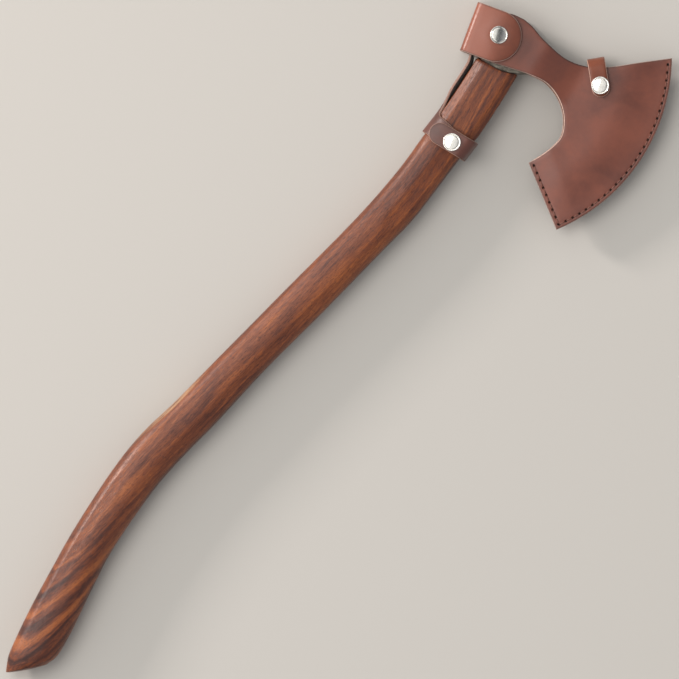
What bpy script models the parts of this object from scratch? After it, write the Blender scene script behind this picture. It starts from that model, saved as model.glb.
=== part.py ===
"""Carving hatchet with a long S-shaped haft and a leather sheath over its bearded head.

Every mesh is drawn in millimetres around the middle of the head's eye, then scaled to metres.
There +X points to the cutting edge, +Y up the haft and +Z out of the side that carries the snaps.
The hatchet lies on its side: the sheath's back panel and the haft's butt touch Z = 0.
"""
import bpy
import bmesh
import math
from mathutils import Vector
from mathutils.geometry import delaunay_2d_cdt

MM = 0.001
EYE = (-17.9, 270.95, 14.8)     # the eye's middle, from the middle of the whole object's footprint
GAP = 0.3                       # between pieces that touch

# Head
EYE_HALF = 12.0                 # half of the head's thickness at the eye
BLADE_HALF = 3.8                # half of its thickness where the blade starts
BEVEL_HALF = 1.1                # half of its thickness above the ground bevel
BEVEL_WIDTH = 7.0
EDGE_HALF = 0.15
BLADE_RUN = 60.0                # length over which the blade thins from BLADE_HALF to BEVEL_HALF
ARC_CENTRE = (-12.2, -16.6)     # of the cutting edge and of the sheath's curved seam
EDGE_RADIUS = 133.0
BEARD_CLEAR = 1.0               # between the beard, thinned towards its lower end, and each panel
BORE = (15.5, 9.1)              # half sizes of the oval eye
HEAD_GRID = 8.0

# Sheath
LEATHER = 2.4                   # panels and poll wrap
STRAP = 2.0                     # straps
SEAM_RADIUS = 141.0
SEAM_ANGLES = (-36.3, 30.4)     # degrees, from the bottom corner to the toe corner
HEEL = (57.8, -67.8)            # corner where the straight seam starts
BOTTOM = (101.5, -100.0)        # corner where the straight seam meets the curved one
TOE = (109.4, 54.8)
WELT_HALF = 1.5                 # half of the pocket's width at the seams
POCKET_HALF = 4.6               # half of the pocket's width over the blade
CLEAR_FRONT = 1.2               # between the eye and the front panel, room for the snap's flange
CLEAR_BACK = 0.4
SHOULDER = (22.0, 60.0)         # X range over which the pocket narrows from the eye to the blade
PINCH_CURVED = 38.0             # how far in from each seam the pocket reaches its full width
PINCH_STRAIGHT = 20.0
PANEL_GRID = 7.5
WELT_WIDTH = 6.5
WELT_THICK_HALF = 1.2
STITCH_INSET = 3.0
STITCH_PITCH = 6.0
THREAD = 0.9

# Poll wrap, in axes turned by WRAP_TILT: u runs to the tip of the flap, v across it
WRAP_TILT = math.radians(10.5)
WRAP_BACK = -33.4               # u of the wrap's outer wall
WRAP_V = (-16.3, 22.5)
WRAP_TIP = (-12.1, 3.06)        # u, v of the middle of the flap's round end
WRAP_TIP_RADIUS = 19.5
BEND = 2.5                      # inner radius of the folds

# Snaps
LIFT = 2.5                      # how far a closed snap holds the flap above the leather below it
CAP_RADIUS = 6.7
CAP_HEIGHT = 1.8
POLL_SNAP = (-10.8, 2.5)
TOP_SNAP = (73.8, 9.4)
COLLAR_SNAP = (0.4, -84.4)

# Top strap, in axes t (towards its tip, from the snap) and w across it
TOP_DIR = Vector((0.65, -0.76)).normalized()
TOP_HALF = 6.65
TOP_FOLD = -14.0                # t where the straight flap starts
TOP_REACH = 7.0                 # how far the fold stands out beyond that
TOP_TIP = 2.0                   # t of the middle of the flap's round end
TOP_RIVET = -5.0                # t of the rivet on the back
TOP_BACK_END = 1.0

# Handle strap and collar
COLLAR_Y = -83.5
COLLAR_HALF = 8.3
COLLAR_LEAN = 0.125             # the haft's slope there, X per Y
COLLAR_HINGE = 9.0              # X where the tongue starts
COLLAR_TONGUE_Z = 18.1          # the tongue's underside
COLLAR_ARM_Z = 13.6             # underside of the short arm, under the tongue
STRAP_HALF = 8.0

# Haft stations: back edge (x, y), front edge (x, y), half thickness
HAFT = [
    ((-16.0, -8.0), (17.0, -8.0), 11.2),
    ((-16.2, -25.0), (17.0, -25.0), 11.2),
    ((-17.0, -50.0), (16.5, -50.0), 11.5),
    ((-18.6, -72.0), (15.2, -72.0), 11.8),
    ((-20.4, -92.0), (12.0, -92.0), 12.1),
    ((-23.0, -120.0), (8.9, -120.0), 12.5),
    ((-27.7, -150.0), (5.2, -150.0), 12.8),
    ((-34.0, -180.0), (-2.0, -180.0), 13.0),
    ((-48.8, -240.0), (-16.0, -240.0), 13.0),
    ((-63.3, -300.0), (-31.0, -300.0), 13.2),
    ((-76.6, -355.0), (-42.6, -355.0), 13.6),
    ((-86.2, -390.0), (-51.0, -390.0), 14.0),
    ((-91.0, -425.0), (-57.0, -425.0), 14.3),
    ((-93.0, -475.0), (-60.2, -475.0), 14.5),
    ((-92.2, -510.0), (-58.2, -510.0), 14.5),
    ((-90.4, -547.0), (-55.0, -545.0), 14.2),
    ((-87.0, -581.0), (-54.3, -560.5), 13.6),
    ((-83.6, -592.5), (-56.0, -567.3), 12.2),
]
BUTT_END = ((-81.6, -596.7), (-58.5, -571.8), 10.2)   # the oblique end face
HAFT_DROP = 0.3                 # how far the butt lies below the eye's middle
HAFT_SIDES = 20
HAFT_ROUND = 2.4                # exponent of the haft's rounded section
TENON = (15.2, 8.8)             # half sizes of the haft inside the eye
TENON_TOP = 18.5

COLOURS = {
    "head_steel": ((0.30, 0.30, 0.30), 0.35, 1.0),
    "haft_wood": ((0.29, 0.10, 0.045), 0.38, 0.0),
    "wedge_wood": ((0.50, 0.33, 0.18), 0.6, 0.0),
    "wedge_steel": ((0.45, 0.45, 0.45), 0.4, 1.0),
    "panel_leather": ((0.24, 0.085, 0.06), 0.5, 0.0),
    "strap_leather": ((0.27, 0.075, 0.035), 0.42, 0.0),
    "thread": ((0.03, 0.015, 0.012), 0.8, 0.0),
    "snap_metal": ((0.80, 0.78, 0.74), 0.18, 1.0),
}


# ---------------------------------------------------------------- shared helpers

def clear_scene():
    for item in list(bpy.data.objects):
        bpy.data.objects.remove(item, do_unlink=True)


def material(name):
    found = bpy.data.materials.get(name)
    if found:
        return found
    colour, roughness, metallic = COLOURS[name]
    made = bpy.data.materials.new(name)
    made.use_nodes = True
    shader = made.node_tree.nodes["Principled BSDF"]
    shader.inputs["Base Color"].default_value = (*colour, 1.0)
    shader.inputs["Roughness"].default_value = roughness
    shader.inputs["Metallic"].default_value = metallic
    return made


def pivot(name, place):
    """An empty on a joint's axis; place is in millimetres from the eye."""
    made = bpy.data.objects.new(name, None)
    made.location = [(a + b) * MM for a, b in zip(EYE, place)]
    made["place"] = list(place)
    bpy.context.collection.objects.link(made)
    return made


def solid(name, verts, faces, slot, parent, smooth=True):
    """One closed body, from millimetre points around the eye, hung on its body's empty."""
    offset = Vector(parent["place"])
    mesh = bpy.data.meshes.new(name)
    mesh.from_pydata([(Vector(v) - offset) * MM for v in verts], [], faces)
    body = bmesh.new()
    body.from_mesh(mesh)
    bmesh.ops.recalc_face_normals(body, faces=body.faces)
    body.to_mesh(mesh)
    body.free()
    if smooth:
        mesh.shade_smooth()
        mesh.set_sharp_from_angle(angle=math.radians(35))
    made = bpy.data.objects.new(name, mesh)
    made.parent = parent
    if slot:
        mesh.materials.append(material(slot))
    else:
        made.hide_render = True
        made.display_type = "WIRE"
    bpy.context.collection.objects.link(made)
    return made


def boolean(target, cutter, operation):
    step = target.modifiers.new(cutter.name, "BOOLEAN")
    step.operation = operation
    step.object = cutter


def ramp(value):
    """Smooth step from 0 to 1."""
    value = min(max(value, 0.0), 1.0)
    return value * value * (3 - 2 * value)


def smooth_line(points, steps):
    """Points on a Catmull-Rom curve through the given ones."""
    pts = [Vector(p) for p in points]
    pts = [2 * pts[0] - pts[1]] + pts + [2 * pts[-1] - pts[-2]]
    line = []
    for a, b, c, d in zip(pts, pts[1:], pts[2:], pts[3:]):
        for k in range(steps):
            t = k / steps
            line.append(0.5 * (2 * b + (c - a) * t + (2 * a - 5 * b + 4 * c - d) * t ** 2
                               + (3 * b - a - 3 * c + d) * t ** 3))
    line.append(pts[-2])
    return line


def arc(centre, radius, start, end, steps):
    """Points of a circular arc, angles in degrees."""
    angles = [math.radians(start + (end - start) * k / steps) for k in range(steps + 1)]
    return [Vector((centre[0] + radius * math.cos(a), centre[1] + radius * math.sin(a))) for a in angles]


def inside(point, loop):
    hit = False
    for a, b in zip(loop, loop[1:] + loop[:1]):
        if (a[1] > point[1]) != (b[1] > point[1]):
            if point[0] < a[0] + (b[0] - a[0]) * (point[1] - a[1]) / (b[1] - a[1]):
                hit = not hit
    return hit


def edge_distance(point, loop):
    best = 1e9
    for a, b in zip(loop, loop[1:] + loop[:1]):
        run = b - a
        t = min(max((point - a).dot(run) / run.length_squared, 0.0), 1.0)
        best = min(best, (point - a - run * t).length)
    return best


def sheet(outline, holes, low, high, grid):
    """A closed plate: low(x, y) and high(x, y) are its two faces, as 3-D points or heights."""
    outline = [Vector(p[:2]) for p in outline]
    loops = [outline] + [arc(c, r, 0, 324, 9) for c, r in holes]
    points = [p for loop in loops for p in loop]
    edges = []
    start = 0
    for loop in loops:
        edges += [(start + k, start + (k + 1) % len(loop)) for k in range(len(loop))]
        start += len(loop)
    low_x, high_x = min(p.x for p in outline), max(p.x for p in outline)
    low_y, high_y = min(p.y for p in outline), max(p.y for p in outline)
    row_step = grid * math.sqrt(3) / 2
    for row in range(int((high_y - low_y) / row_step) + 1):
        for column in range(int((high_x - low_x) / grid) + 1):
            spot = Vector((low_x + (column + 0.5 * (row % 2)) * grid, low_y + row * row_step))
            if inside(spot, outline) and all(edge_distance(spot, loop) > grid * 0.55 for loop in loops):
                points.append(spot)
    flat, _, triangles, *_ = delaunay_2d_cdt(points, edges, [], 0, 1e-5)
    kept = []
    for face in triangles:
        middle = sum((flat[i] for i in face), Vector((0, 0))) / len(face)
        if inside(middle, outline) and not any((middle - Vector(c)).length < r * 0.9 for c, r in holes):
            kept.append(list(face))
    used = sorted({i for face in kept for i in face})
    index = {old: new for new, old in enumerate(used)}
    count = len(used)
    verts = [low(*flat[i]) for i in used] + [high(*flat[i]) for i in used]
    faces = [[index[i] for i in reversed(face)] for face in kept]
    faces += [[index[i] + count for i in face] for face in kept]
    sides = {}
    for face in kept:
        for a, b in zip(face, face[1:] + face[:1]):
            sides[(index[a], index[b])] = True
    for a, b in sides:
        if (b, a) not in sides:
            faces.append([a, b, b + count, a + count])
    return verts, faces


def flat_face(height):
    return lambda x, y: (x, y, height)


def turned(profile, place, sides):
    """A closed body turned about Z: profile lists (radius, z), from axis to axis or as a ring."""
    verts = []
    rings = []
    for radius, z in profile:
        if radius == 0:
            rings.append([len(verts)])
            verts.append((place[0], place[1], z))
            continue
        rings.append(list(range(len(verts), len(verts) + sides)))
        for k in range(sides):
            angle = 2 * math.pi * k / sides
            verts.append((place[0] + radius * math.cos(angle), place[1] + radius * math.sin(angle), z))
    pairs = list(zip(rings, rings[1:]))
    if profile[0][0] > 0:
        pairs.append((rings[-1], rings[0]))
    faces = []
    for one, two in pairs:
        for k in range(sides):
            nxt = (k + 1) % sides
            if len(one) == 1:
                faces.append([one[0], two[nxt], two[k]])
            elif len(two) == 1:
                faces.append([one[k], one[nxt], two[0]])
            else:
                faces.append([one[k], one[nxt], two[nxt], two[k]])
    return verts, faces


def square_tube_faces(stations):
    """Faces of a body with four points at each of its stations."""
    last = 4 * stations
    faces = [[0, 1, 2, 3], [last - 1, last - 2, last - 3, last - 4]]
    for base in range(0, last - 4, 4):
        faces += [[base + j, base + 4 + j, base + 4 + (j + 1) % 4, base + (j + 1) % 4] for j in range(4)]
    return faces


def strip(path, thickness, low, high, place):
    """A flat strip bent along a 2-D path; place(a, b, c) turns path a, b and width c into a point."""
    path = [Vector(p) for p in path]
    verts = []
    for k, spot in enumerate(path):
        run = (path[min(k + 1, len(path) - 1)] - path[max(k - 1, 0)]).normalized()
        side = Vector((-run.y, run.x)) * thickness / 2
        for point, width in ((spot - side, low), (spot + side, low), (spot + side, high), (spot - side, high)):
            verts.append(place(point.x, point.y, width))
    return verts, square_tube_faces(len(path))


def block(corners, low, high, axis="z"):
    """A prism on a 2-D outline, between two heights along Z or, with axis y, along Y."""
    count = len(corners)
    verts = []
    for level in (low, high):
        for a, b in corners:
            verts.append((a, b, level) if axis == "z" else (a, level, b))
    faces = [list(range(count)), list(range(2 * count - 1, count - 1, -1))]
    faces += [[k, (k + 1) % count, (k + 1) % count + count, k + count] for k in range(count)]
    return verts, faces


def oval(half_x, half_z, sides):
    angles = [2 * math.pi * k / sides for k in range(sides)]
    return [(half_x * math.cos(a), half_z * math.sin(a)) for a in angles]


# ---------------------------------------------------------------- axe

def arc_depth(x, y, radius):
    """How far a point lies inside the arc that the edge and the curved seam share."""
    return radius - math.hypot(x - ARC_CENTRE[0], y - ARC_CENTRE[1])


def head_half(x, y):
    """Half of the head's thickness."""
    body = EYE_HALF + (BLADE_HALF - EYE_HALF) * ramp((x - 17.0) / 38.0)
    depth = arc_depth(x, y, EDGE_RADIUS)
    if depth < BEVEL_WIDTH:
        return EDGE_HALF + (BEVEL_HALF - EDGE_HALF) * max(depth, 0) / BEVEL_WIDTH
    blade = BEVEL_HALF + (body - BEVEL_HALF) * ramp((depth - BEVEL_WIDTH) / BLADE_RUN)
    return min(blade, pocket_half(x, y, 0.0) - BEARD_CLEAR) if x > 50.0 else blade


def head_outline():
    top = smooth_line([(104.4, 47.5), (86, 33), (68, 18.6), (54, 11.6), (38, 10.2), (24, 12.4), (8, 16.6),
                       (-10, 17.0)], 3)
    poll = [Vector((-29.6, 13.2)), Vector((-30.6, 11.4)), Vector((-26.9, -8.6)), Vector((-25.6, -10.4))]
    eye = smooth_line([(-19, -17.2), (-12, -19.5), (4, -19.3), (16, -15.2), (25, -10.4), (36, -8), (45, -9.4)], 2)
    beard = smooth_line([(54, -13.8), (63, -21.5), (69.4, -32), (71, -42), (69.4, -53), (66.2, -64.1)], 2)
    edge = arc(ARC_CENTRE, EDGE_RADIUS, -32.8, 28.8, 18)
    return [Vector(p) for p in poll] + eye + beard + edge + top[1:]


def build_head(axe):
    points = head_outline()
    verts, faces = sheet(points, [], lambda x, y: (x, y, -head_half(x, y)),
                         lambda x, y: (x, y, head_half(x, y)), HEAD_GRID)
    head = solid("axe_head", verts, faces, "head_steel", axe)
    bore = solid("eye_cutter", *block(oval(*BORE, 28), -40, 40, "y"), None, axe)
    boolean(head, bore, "DIFFERENCE")


def haft_section(back, front, half, drop):
    """One ring of the haft: a rounded oval between its back and front edges."""
    back, front = Vector(back), Vector(front)
    middle, reach = (back + front) / 2, (front - back) / 2
    ring = []
    for k in range(HAFT_SIDES):
        angle = 2 * math.pi * k / HAFT_SIDES
        along = math.copysign(abs(math.cos(angle)) ** (2 / HAFT_ROUND), math.cos(angle))
        up = math.copysign(abs(math.sin(angle)) ** (2 / HAFT_ROUND), math.sin(angle))
        spot = middle + reach * along
        ring.append((spot.x, spot.y, half * up - drop))
    return ring


def build_haft(axe):
    rows = [(*back, *front, half) for back, front, half in HAFT]
    flat = [Vector(row) for row in rows]
    line = smooth_line(flat, 2) + [Vector((*BUTT_END[0], *BUTT_END[1], BUTT_END[2]))]
    verts = []
    for row in line:
        drop = HAFT_DROP * ramp((-100.0 - row[1]) / 350.0)
        verts += haft_section(row[0:2], row[2:4], row[4], drop)
    count = HAFT_SIDES
    faces = [list(range(count)), list(range(len(verts) - 1, len(verts) - count - 1, -1))]
    for k in range(len(line) - 1):
        base = k * count
        faces += [[base + j, base + (j + 1) % count, base + count + (j + 1) % count, base + count + j]
                  for j in range(count)]
    haft = solid("haft", verts, faces, "haft_wood", axe)
    lug = [(-40, 30), (-40, -20.2), (-12, -20.2), (4, -19.8), (10, -18.2), (16, -15.7), (25, -10.9), (40, 30)]
    tenon = block(oval(*TENON, 28), -40, TENON_TOP, "y")
    boolean(haft, solid("lug_cutter", *block(lug, -20, 20), None, axe), "DIFFERENCE")
    boolean(haft, solid("tenon_guide", *tenon, None, axe), "UNION")
    kerf = [(-0.7, -4), (0.7, -4), (1.5, 20), (-1.5, 20)]
    verts, faces = block([(y, z) for z, y in kerf], -13, 13)
    boolean(haft, solid("kerf_cutter", [(c, a, b) for a, b, c in verts], faces, None, axe), "DIFFERENCE")
    cross = block([(-1.0, 7.5), (1.0, 7.5), (1.3, 20), (-1.3, 20)], -6.4, 6.4)
    cross_cutter = solid("cross_cutter", *cross, None, axe)
    boolean(haft, cross_cutter, "DIFFERENCE")
    wedge = [(-0.4, -2.5), (0.4, -2.5), (1.2, 18.2), (-1.2, 18.2)]
    verts, faces = block([(y, z) for z, y in wedge], -12.6, 12.6)
    wood = solid("wooden_wedge", [(c, a, b) for a, b, c in verts], faces, "wedge_wood", axe, smooth=False)
    boolean(wood, cross_cutter, "DIFFERENCE")
    steel = block([(-0.5, 8.5), (0.5, 8.5), (0.95, 18.3), (-0.95, 18.3)], -6.0, 6.0)
    solid("steel_wedge", *steel, "wedge_steel", axe, smooth=False)


# ---------------------------------------------------------------- sheath

def seam_depth(x, y):
    """Distances from the curved seam and from the straight one."""
    run = Vector(BOTTOM) - Vector(HEEL)
    away = Vector((x, y)) - Vector(HEEL)
    along = min(max(away.dot(run) / run.length_squared, 0.0), 1.0)
    return arc_depth(x, y, SEAM_RADIUS), (away - run * along).length


def pocket_half(x, y, clear):
    """Half of the pocket's width: wide over the eye, narrow over the blade, pinched at the seams."""
    eye = EYE_HALF + clear
    body = eye + (POCKET_HALF - eye) * ramp((x - SHOULDER[0]) / (SHOULDER[1] - SHOULDER[0]))
    curved, straight = seam_depth(x, y)
    share = ramp(curved / PINCH_CURVED) * ramp(straight / PINCH_STRAIGHT)
    return WELT_HALF + (body - WELT_HALF) * share


def panel_faces(side, clear):
    """The panel's inner and outer face; side is +1 in front and -1 behind."""
    step = 0.5

    def inner(x, y):
        return x, y, side * pocket_half(x, y, clear)

    def outer(x, y):
        slope_x = (pocket_half(x + step, y, clear) - pocket_half(x - step, y, clear)) / (2 * step)
        slope_y = (pocket_half(x, y + step, clear) - pocket_half(x, y - step, clear)) / (2 * step)
        stretch = math.sqrt(1 + slope_x ** 2 + slope_y ** 2)
        return x, y, side * (pocket_half(x, y, clear) + LEATHER * stretch)

    return inner, outer


def wrap_point(u, v, z=0.0):
    """A point given in the poll wrap's turned axes."""
    return (u * math.cos(WRAP_TILT) - v * math.sin(WRAP_TILT),
            u * math.sin(WRAP_TILT) + v * math.cos(WRAP_TILT), z)


def panel_outline(left):
    """The panel's edge, from its left end round the beard, the seams and the top edge."""
    low = smooth_line([(-3, -17.4), (10, -14.2), (24, -11.1), (37.5, -10.3), (50, -14.6), (60, -22.6),
                       (66.4, -33), (67.9, -42), (64.4, -54), HEEL], 3)
    seam = arc(ARC_CENTRE, SEAM_RADIUS, *SEAM_ANGLES, 22)
    high = smooth_line([TOE, (90, 39.2), (72, 24.4), (56.5, 16), (40, 13.2), (20, 16.8), (8, 20.8), (0, 22.3)], 3)
    return [Vector(p) for p in left] + low + seam + high[1:]


def build_panels(sheath):
    fold = WRAP_BACK + LEATHER + BEND + GAP / 2
    front_left = [(-8, 21.6), (-16, 19.2), (-27.6, 16.8), (-22.2, -18.6), (-10, -18.0)]
    back_left = [wrap_point(-14, WRAP_V[1])[:2], wrap_point(fold, WRAP_V[1])[:2],
                 wrap_point(fold, WRAP_V[0])[:2], wrap_point(-12, WRAP_V[0])[:2]]
    inner, outer = panel_faces(1, CLEAR_FRONT)
    verts, faces = sheet(panel_outline(front_left), [(POLL_SNAP, 2.2), (TOP_SNAP, 2.2)], inner, outer, PANEL_GRID)
    solid("front_panel", verts, faces, "panel_leather", sheath)
    inner, outer = panel_faces(-1, CLEAR_BACK)
    rivet = top_point(TOP_RIVET, 0)[:2]
    verts, faces = sheet(panel_outline(back_left), [(rivet, 1.9)], inner, outer, PANEL_GRID)
    solid("back_panel", verts, faces, "panel_leather", sheath)


def seam_corner(inset):
    """Where the two seams meet, moved in by the same amount from both."""
    run = (Vector(BOTTOM) - Vector(HEEL)).normalized()
    spot = Vector(HEEL) + Vector((-run.y, run.x)) * inset
    radius = SEAM_RADIUS - inset
    towards = spot - Vector(ARC_CENTRE)
    along = towards.dot(run)
    reach = -along + math.sqrt(along ** 2 - towards.length_squared + radius ** 2)
    return spot, spot + run * reach


def seam_line(inset, steps):
    """The line that runs round both seams at one inset, from the toe to the heel."""
    heel, corner = seam_corner(inset)
    angle = math.degrees(math.atan2(corner.y - ARC_CENTRE[1], corner.x - ARC_CENTRE[0]))
    curved = arc(ARC_CENTRE, SEAM_RADIUS - inset, SEAM_ANGLES[1] - 0.6, angle, steps)
    return curved, heel


def build_welt(sheath):
    outer_line, outer_heel = seam_line(GAP, 16)
    inner_line, inner_heel = seam_line(WELT_WIDTH, 16)
    run = (Vector(BOTTOM) - Vector(HEEL)).normalized()
    outline = outer_line + [outer_heel + run * 0.6, inner_heel + run * 4.0] + inner_line[::-1]
    verts, faces = sheet(outline, [], flat_face(-WELT_THICK_HALF), flat_face(WELT_THICK_HALF), 20.0)
    solid("edge_welt", verts, faces, "strap_leather", sheath)


def stitch_holes():
    """Where the needle holes are, along the curved seam and then the straight one."""
    curved, heel = seam_line(STITCH_INSET, 60)
    corner = curved[-1]
    length = sum((b - a).length for a, b in zip(curved, curved[1:]))
    count = round(length / STITCH_PITCH)
    angles = [math.atan2(p.y - ARC_CENTRE[1], p.x - ARC_CENTRE[0]) for p in (curved[0], corner)]
    radius = SEAM_RADIUS - STITCH_INSET
    start = angles[0] - STITCH_PITCH * 0.6 / radius
    holes = []
    for k in range(count + 1):
        angle = start + (angles[1] - start) * k / count
        holes.append(Vector((ARC_CENTRE[0] + radius * math.cos(angle), ARC_CENTRE[1] + radius * math.sin(angle))))
    run = heel - corner
    last = run.length - 3.5
    straight = round(last / STITCH_PITCH)
    holes += [corner + run.normalized() * last * k / straight for k in range(1, straight + 1)]
    return holes


def build_stitching(sheath):
    """One thread on each face of the sheath, arched between its needle holes."""
    for name, side, clear in (("front_stitching", 1, CLEAR_FRONT), ("back_stitching", -1, CLEAR_BACK)):
        outer = panel_faces(side, clear)[1]
        holes = stitch_holes()
        spots = [holes[0]]
        for a, b in zip(holes, holes[1:]):
            spots += [(a + b) / 2, b]
        verts = []
        for k, spot in enumerate(spots):
            run = (spots[min(k + 1, len(spots) - 1)] - spots[max(k - 1, 0)]).normalized()
            across = Vector((-run.y, run.x)) * THREAD / 2
            low = abs(outer(spot.x, spot.y)[2]) + GAP + (0.2 if k % 2 else 0.1)
            for shift, level in ((-1, low), (1, low), (1, low + THREAD / 2), (-1, low + THREAD / 2)):
                point = spot + across * shift
                verts.append((point.x, point.y, side * level))
        solid(name, verts, square_tube_faces(len(spots)), "thread", sheath, smooth=False)


def fold_arc(centre, radius, start, end):
    return arc(centre, radius, start, end, 5)


def build_poll_wrap(sheath):
    """The wrap's wall behind the poll with both its folds; the flap is hinged at the upper one."""
    middle = BEND + LEATHER / 2
    centre_u = WRAP_BACK + LEATHER + BEND
    low_z = -(EYE_HALF + CLEAR_BACK) + BEND
    high_z = EYE_HALF + CLEAR_FRONT + LEATHER + LIFT - BEND
    path = [(centre_u - GAP / 2, low_z - middle)] + fold_arc((centre_u, low_z), middle, 264, 180)
    path += fold_arc((centre_u, high_z), middle, 180, 96) + [(centre_u - GAP / 2, high_z + middle)]
    verts, faces = strip(path, LEATHER, *WRAP_V, lambda u, z, v: wrap_point(u, v, z))
    solid("poll_wrap", verts, faces, "panel_leather", sheath)


def build_poll_flap(flap):
    start = WRAP_BACK + LEATHER + BEND + GAP / 2
    low = EYE_HALF + CLEAR_FRONT + LEATHER + LIFT
    tip = [wrap_point(*p) for p in arc(WRAP_TIP, WRAP_TIP_RADIUS, -86, 86, 18)]
    outline = [wrap_point(start, WRAP_V[1]), wrap_point(start, WRAP_V[0])] + tip
    verts, faces = sheet(outline, [(POLL_SNAP, 2.2)], flat_face(low), flat_face(low + LEATHER), 12.0)
    solid("poll_flap", verts, faces, "panel_leather", flap)


def top_point(t, w, z=0.0):
    """A point given in the top strap's axes."""
    spot = Vector(TOP_SNAP) + TOP_DIR * t + Vector((-TOP_DIR.y, TOP_DIR.x)) * w
    return spot.x, spot.y, z


def build_top_strap(sheath, flap):
    """A strap riveted to the back panel, folded over the top edge and snapped down in front."""
    front = POCKET_HALF + LEATHER + LIFT
    back = -(POCKET_HALF + LEATHER + 0.8)
    high, low = front + STRAP / 2, back - STRAP / 2
    middle, half = (high + low) / 2, (high - low) / 2
    fold = []
    for k in range(11):
        angle = math.radians(90 + 18 * k)
        reach = TOP_REACH - STRAP / 2
        fold.append((TOP_FOLD + reach * math.cos(angle), middle + half * math.sin(angle)))
    path = [(TOP_FOLD - GAP / 2, high)] + fold[1:] + [(TOP_RIVET - 4.0, low), (TOP_BACK_END, low)]
    verts, faces = strip(path, STRAP, -TOP_HALF, TOP_HALF, lambda t, z, w: top_point(t, w, z))
    strap = solid("top_strap", verts, faces, "strap_leather", sheath)
    rivet = top_point(TOP_RIVET, 0)
    verts, faces = turned([(0, -30), (1.9, -30), (1.9, 0), (0, 0)], rivet, 12)
    boolean(strap, solid("rivet_cutter", verts, faces, None, sheath), "DIFFERENCE")
    tip = [top_point(*p) for p in arc((TOP_TIP, 0), TOP_HALF, -90, 90, 10)]
    outline = [top_point(TOP_FOLD + GAP / 2, TOP_HALF), top_point(TOP_FOLD + GAP / 2, -TOP_HALF)] + tip
    verts, faces = sheet(outline, [(TOP_SNAP, 2.2)], flat_face(front), flat_face(front + STRAP), 30.0)
    solid("top_flap", verts, faces, "strap_leather", flap)
    build_rivet(sheath, rivet, low - STRAP / 2, -POCKET_HALF)


def build_rivet(sheath, place, outside, inside_face):
    """A two-part rivet: a post with its flange inside the pocket, and a cap on the outside."""
    flange = inside_face + GAP
    post = [(0, outside - 0.6), (1.0, outside - 0.6), (1.0, outside + 0.4), (1.5, outside + 0.4),
            (1.5, flange), (3.4, flange), (3.4, flange + 0.5), (0, flange + 0.5)]
    solid("rivet_post", *turned(post, place, 16), "snap_metal", sheath)
    rim = outside - GAP
    cap = [(0, rim - 0.9), (1.3, rim - 0.9), (1.3, rim), (4.4, rim), (4.4, rim - 0.5), (3.2, rim - 1.1),
           (0, rim - 1.4)]
    solid("rivet_cap", *turned(cap, place, 16), "snap_metal", sheath)


def build_handle_strap(sheath):
    """The strap down the back of the haft, with the collar band that wraps round it from the T."""
    inner = WRAP_BACK + LEATHER + GAP
    middle = inner + STRAP / 2
    tucked = [Vector(wrap_point(middle, v)[:2]) for v in (13.0, -7.0)]
    run = [Vector(p) for p in ((-27.2, -14.0), (-21.6, -21.0), (-20.9, -26.0), (-20.6, -50.0), (-20.9, -78.0))]
    path = [tucked[0]] + smooth_line([tucked[1]] + run, 2)
    verts, faces = strip(path, STRAP - 0.1, -STRAP_HALF, STRAP_HALF, lambda x, y, z: (x, y, z))
    strap = solid("strap_guide", verts, faces, None, sheath)
    arm = COLLAR_ARM_Z + STRAP / 2
    tongue = COLLAR_TONGUE_Z + STRAP / 2
    around = [(7.0, arm), (0.4, arm), (-8.0, 14.3), (-14.8, 12.0), (-19.5, 6.8), (-20.9, 0.0), (-19.5, -7.0),
              (-13.6, -12.1), (-3.0, -13.5), (7.2, -12.7), (13.4, -8.6), (15.8, -2.0), (16.2, 5.0),
              (15.2, 11.5), (13.6, 16.8), (COLLAR_HINGE + 2.0, tongue), (COLLAR_HINGE + GAP / 2, tongue)]
    band_path = smooth_line(around, 2)

    def place(x, z, across):
        shift = 3.0 * ramp(-x / 18.0)
        y = COLLAR_Y + across + shift
        return x + COLLAR_LEAN * across, y, z

    verts, faces = strip(band_path, STRAP + 0.1, -COLLAR_HALF, COLLAR_HALF, place)
    band = solid("handle_strap", verts, faces, "strap_leather", sheath)
    boolean(band, strap, "UNION")
    verts, faces = turned([(0, 8), (2.2, 8), (2.2, 17), (0, 17)], COLLAR_SNAP, 12)
    boolean(band, solid("collar_hole_cutter", verts, faces, None, sheath), "DIFFERENCE")


def build_strap_stitching(sheath):
    """A box stitch on the wrap's wall, which holds the end of the handle strap inside it."""
    outside = WRAP_BACK - GAP
    verts = []
    for grow in (0.0, THREAD):
        for level in (outside, outside - THREAD / 2):
            for v_side, z_side in ((-1, -1), (1, -1), (1, 1), (-1, 1)):
                verts.append(wrap_point(level, 3.0 + v_side * (8.0 + grow), z_side * (4.5 + grow)))
    faces = []
    for k in range(4):
        nxt = (k + 1) % 4
        faces += [[k, nxt, nxt + 4, k + 4], [k + 8, nxt + 8, nxt + 12, k + 12],
                  [k, nxt, nxt + 8, k + 8], [k + 4, nxt + 4, nxt + 12, k + 12]]
    solid("strap_stitching", verts, faces, "thread", sheath, smooth=False)


def build_tongue(tongue):
    def lean(x, y):
        return x + COLLAR_LEAN * (y - COLLAR_Y), y

    def level(extra):
        return lambda x, y: (x, y, COLLAR_TONGUE_Z + extra - 0.016 * max(0.0, -8.0 - x) ** 2)

    tip = arc((-9.0, COLLAR_Y), COLLAR_HALF, 90, 270, 12)
    start = COLLAR_HINGE - GAP / 2
    outline = tip + [lean(start, COLLAR_Y - COLLAR_HALF), lean(start, COLLAR_Y + COLLAR_HALF)]
    verts, faces = sheet(outline, [(COLLAR_SNAP, 2.2)], level(0), level(STRAP), 9.0)
    solid("collar_tongue", verts, faces, "strap_leather", tongue)


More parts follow.
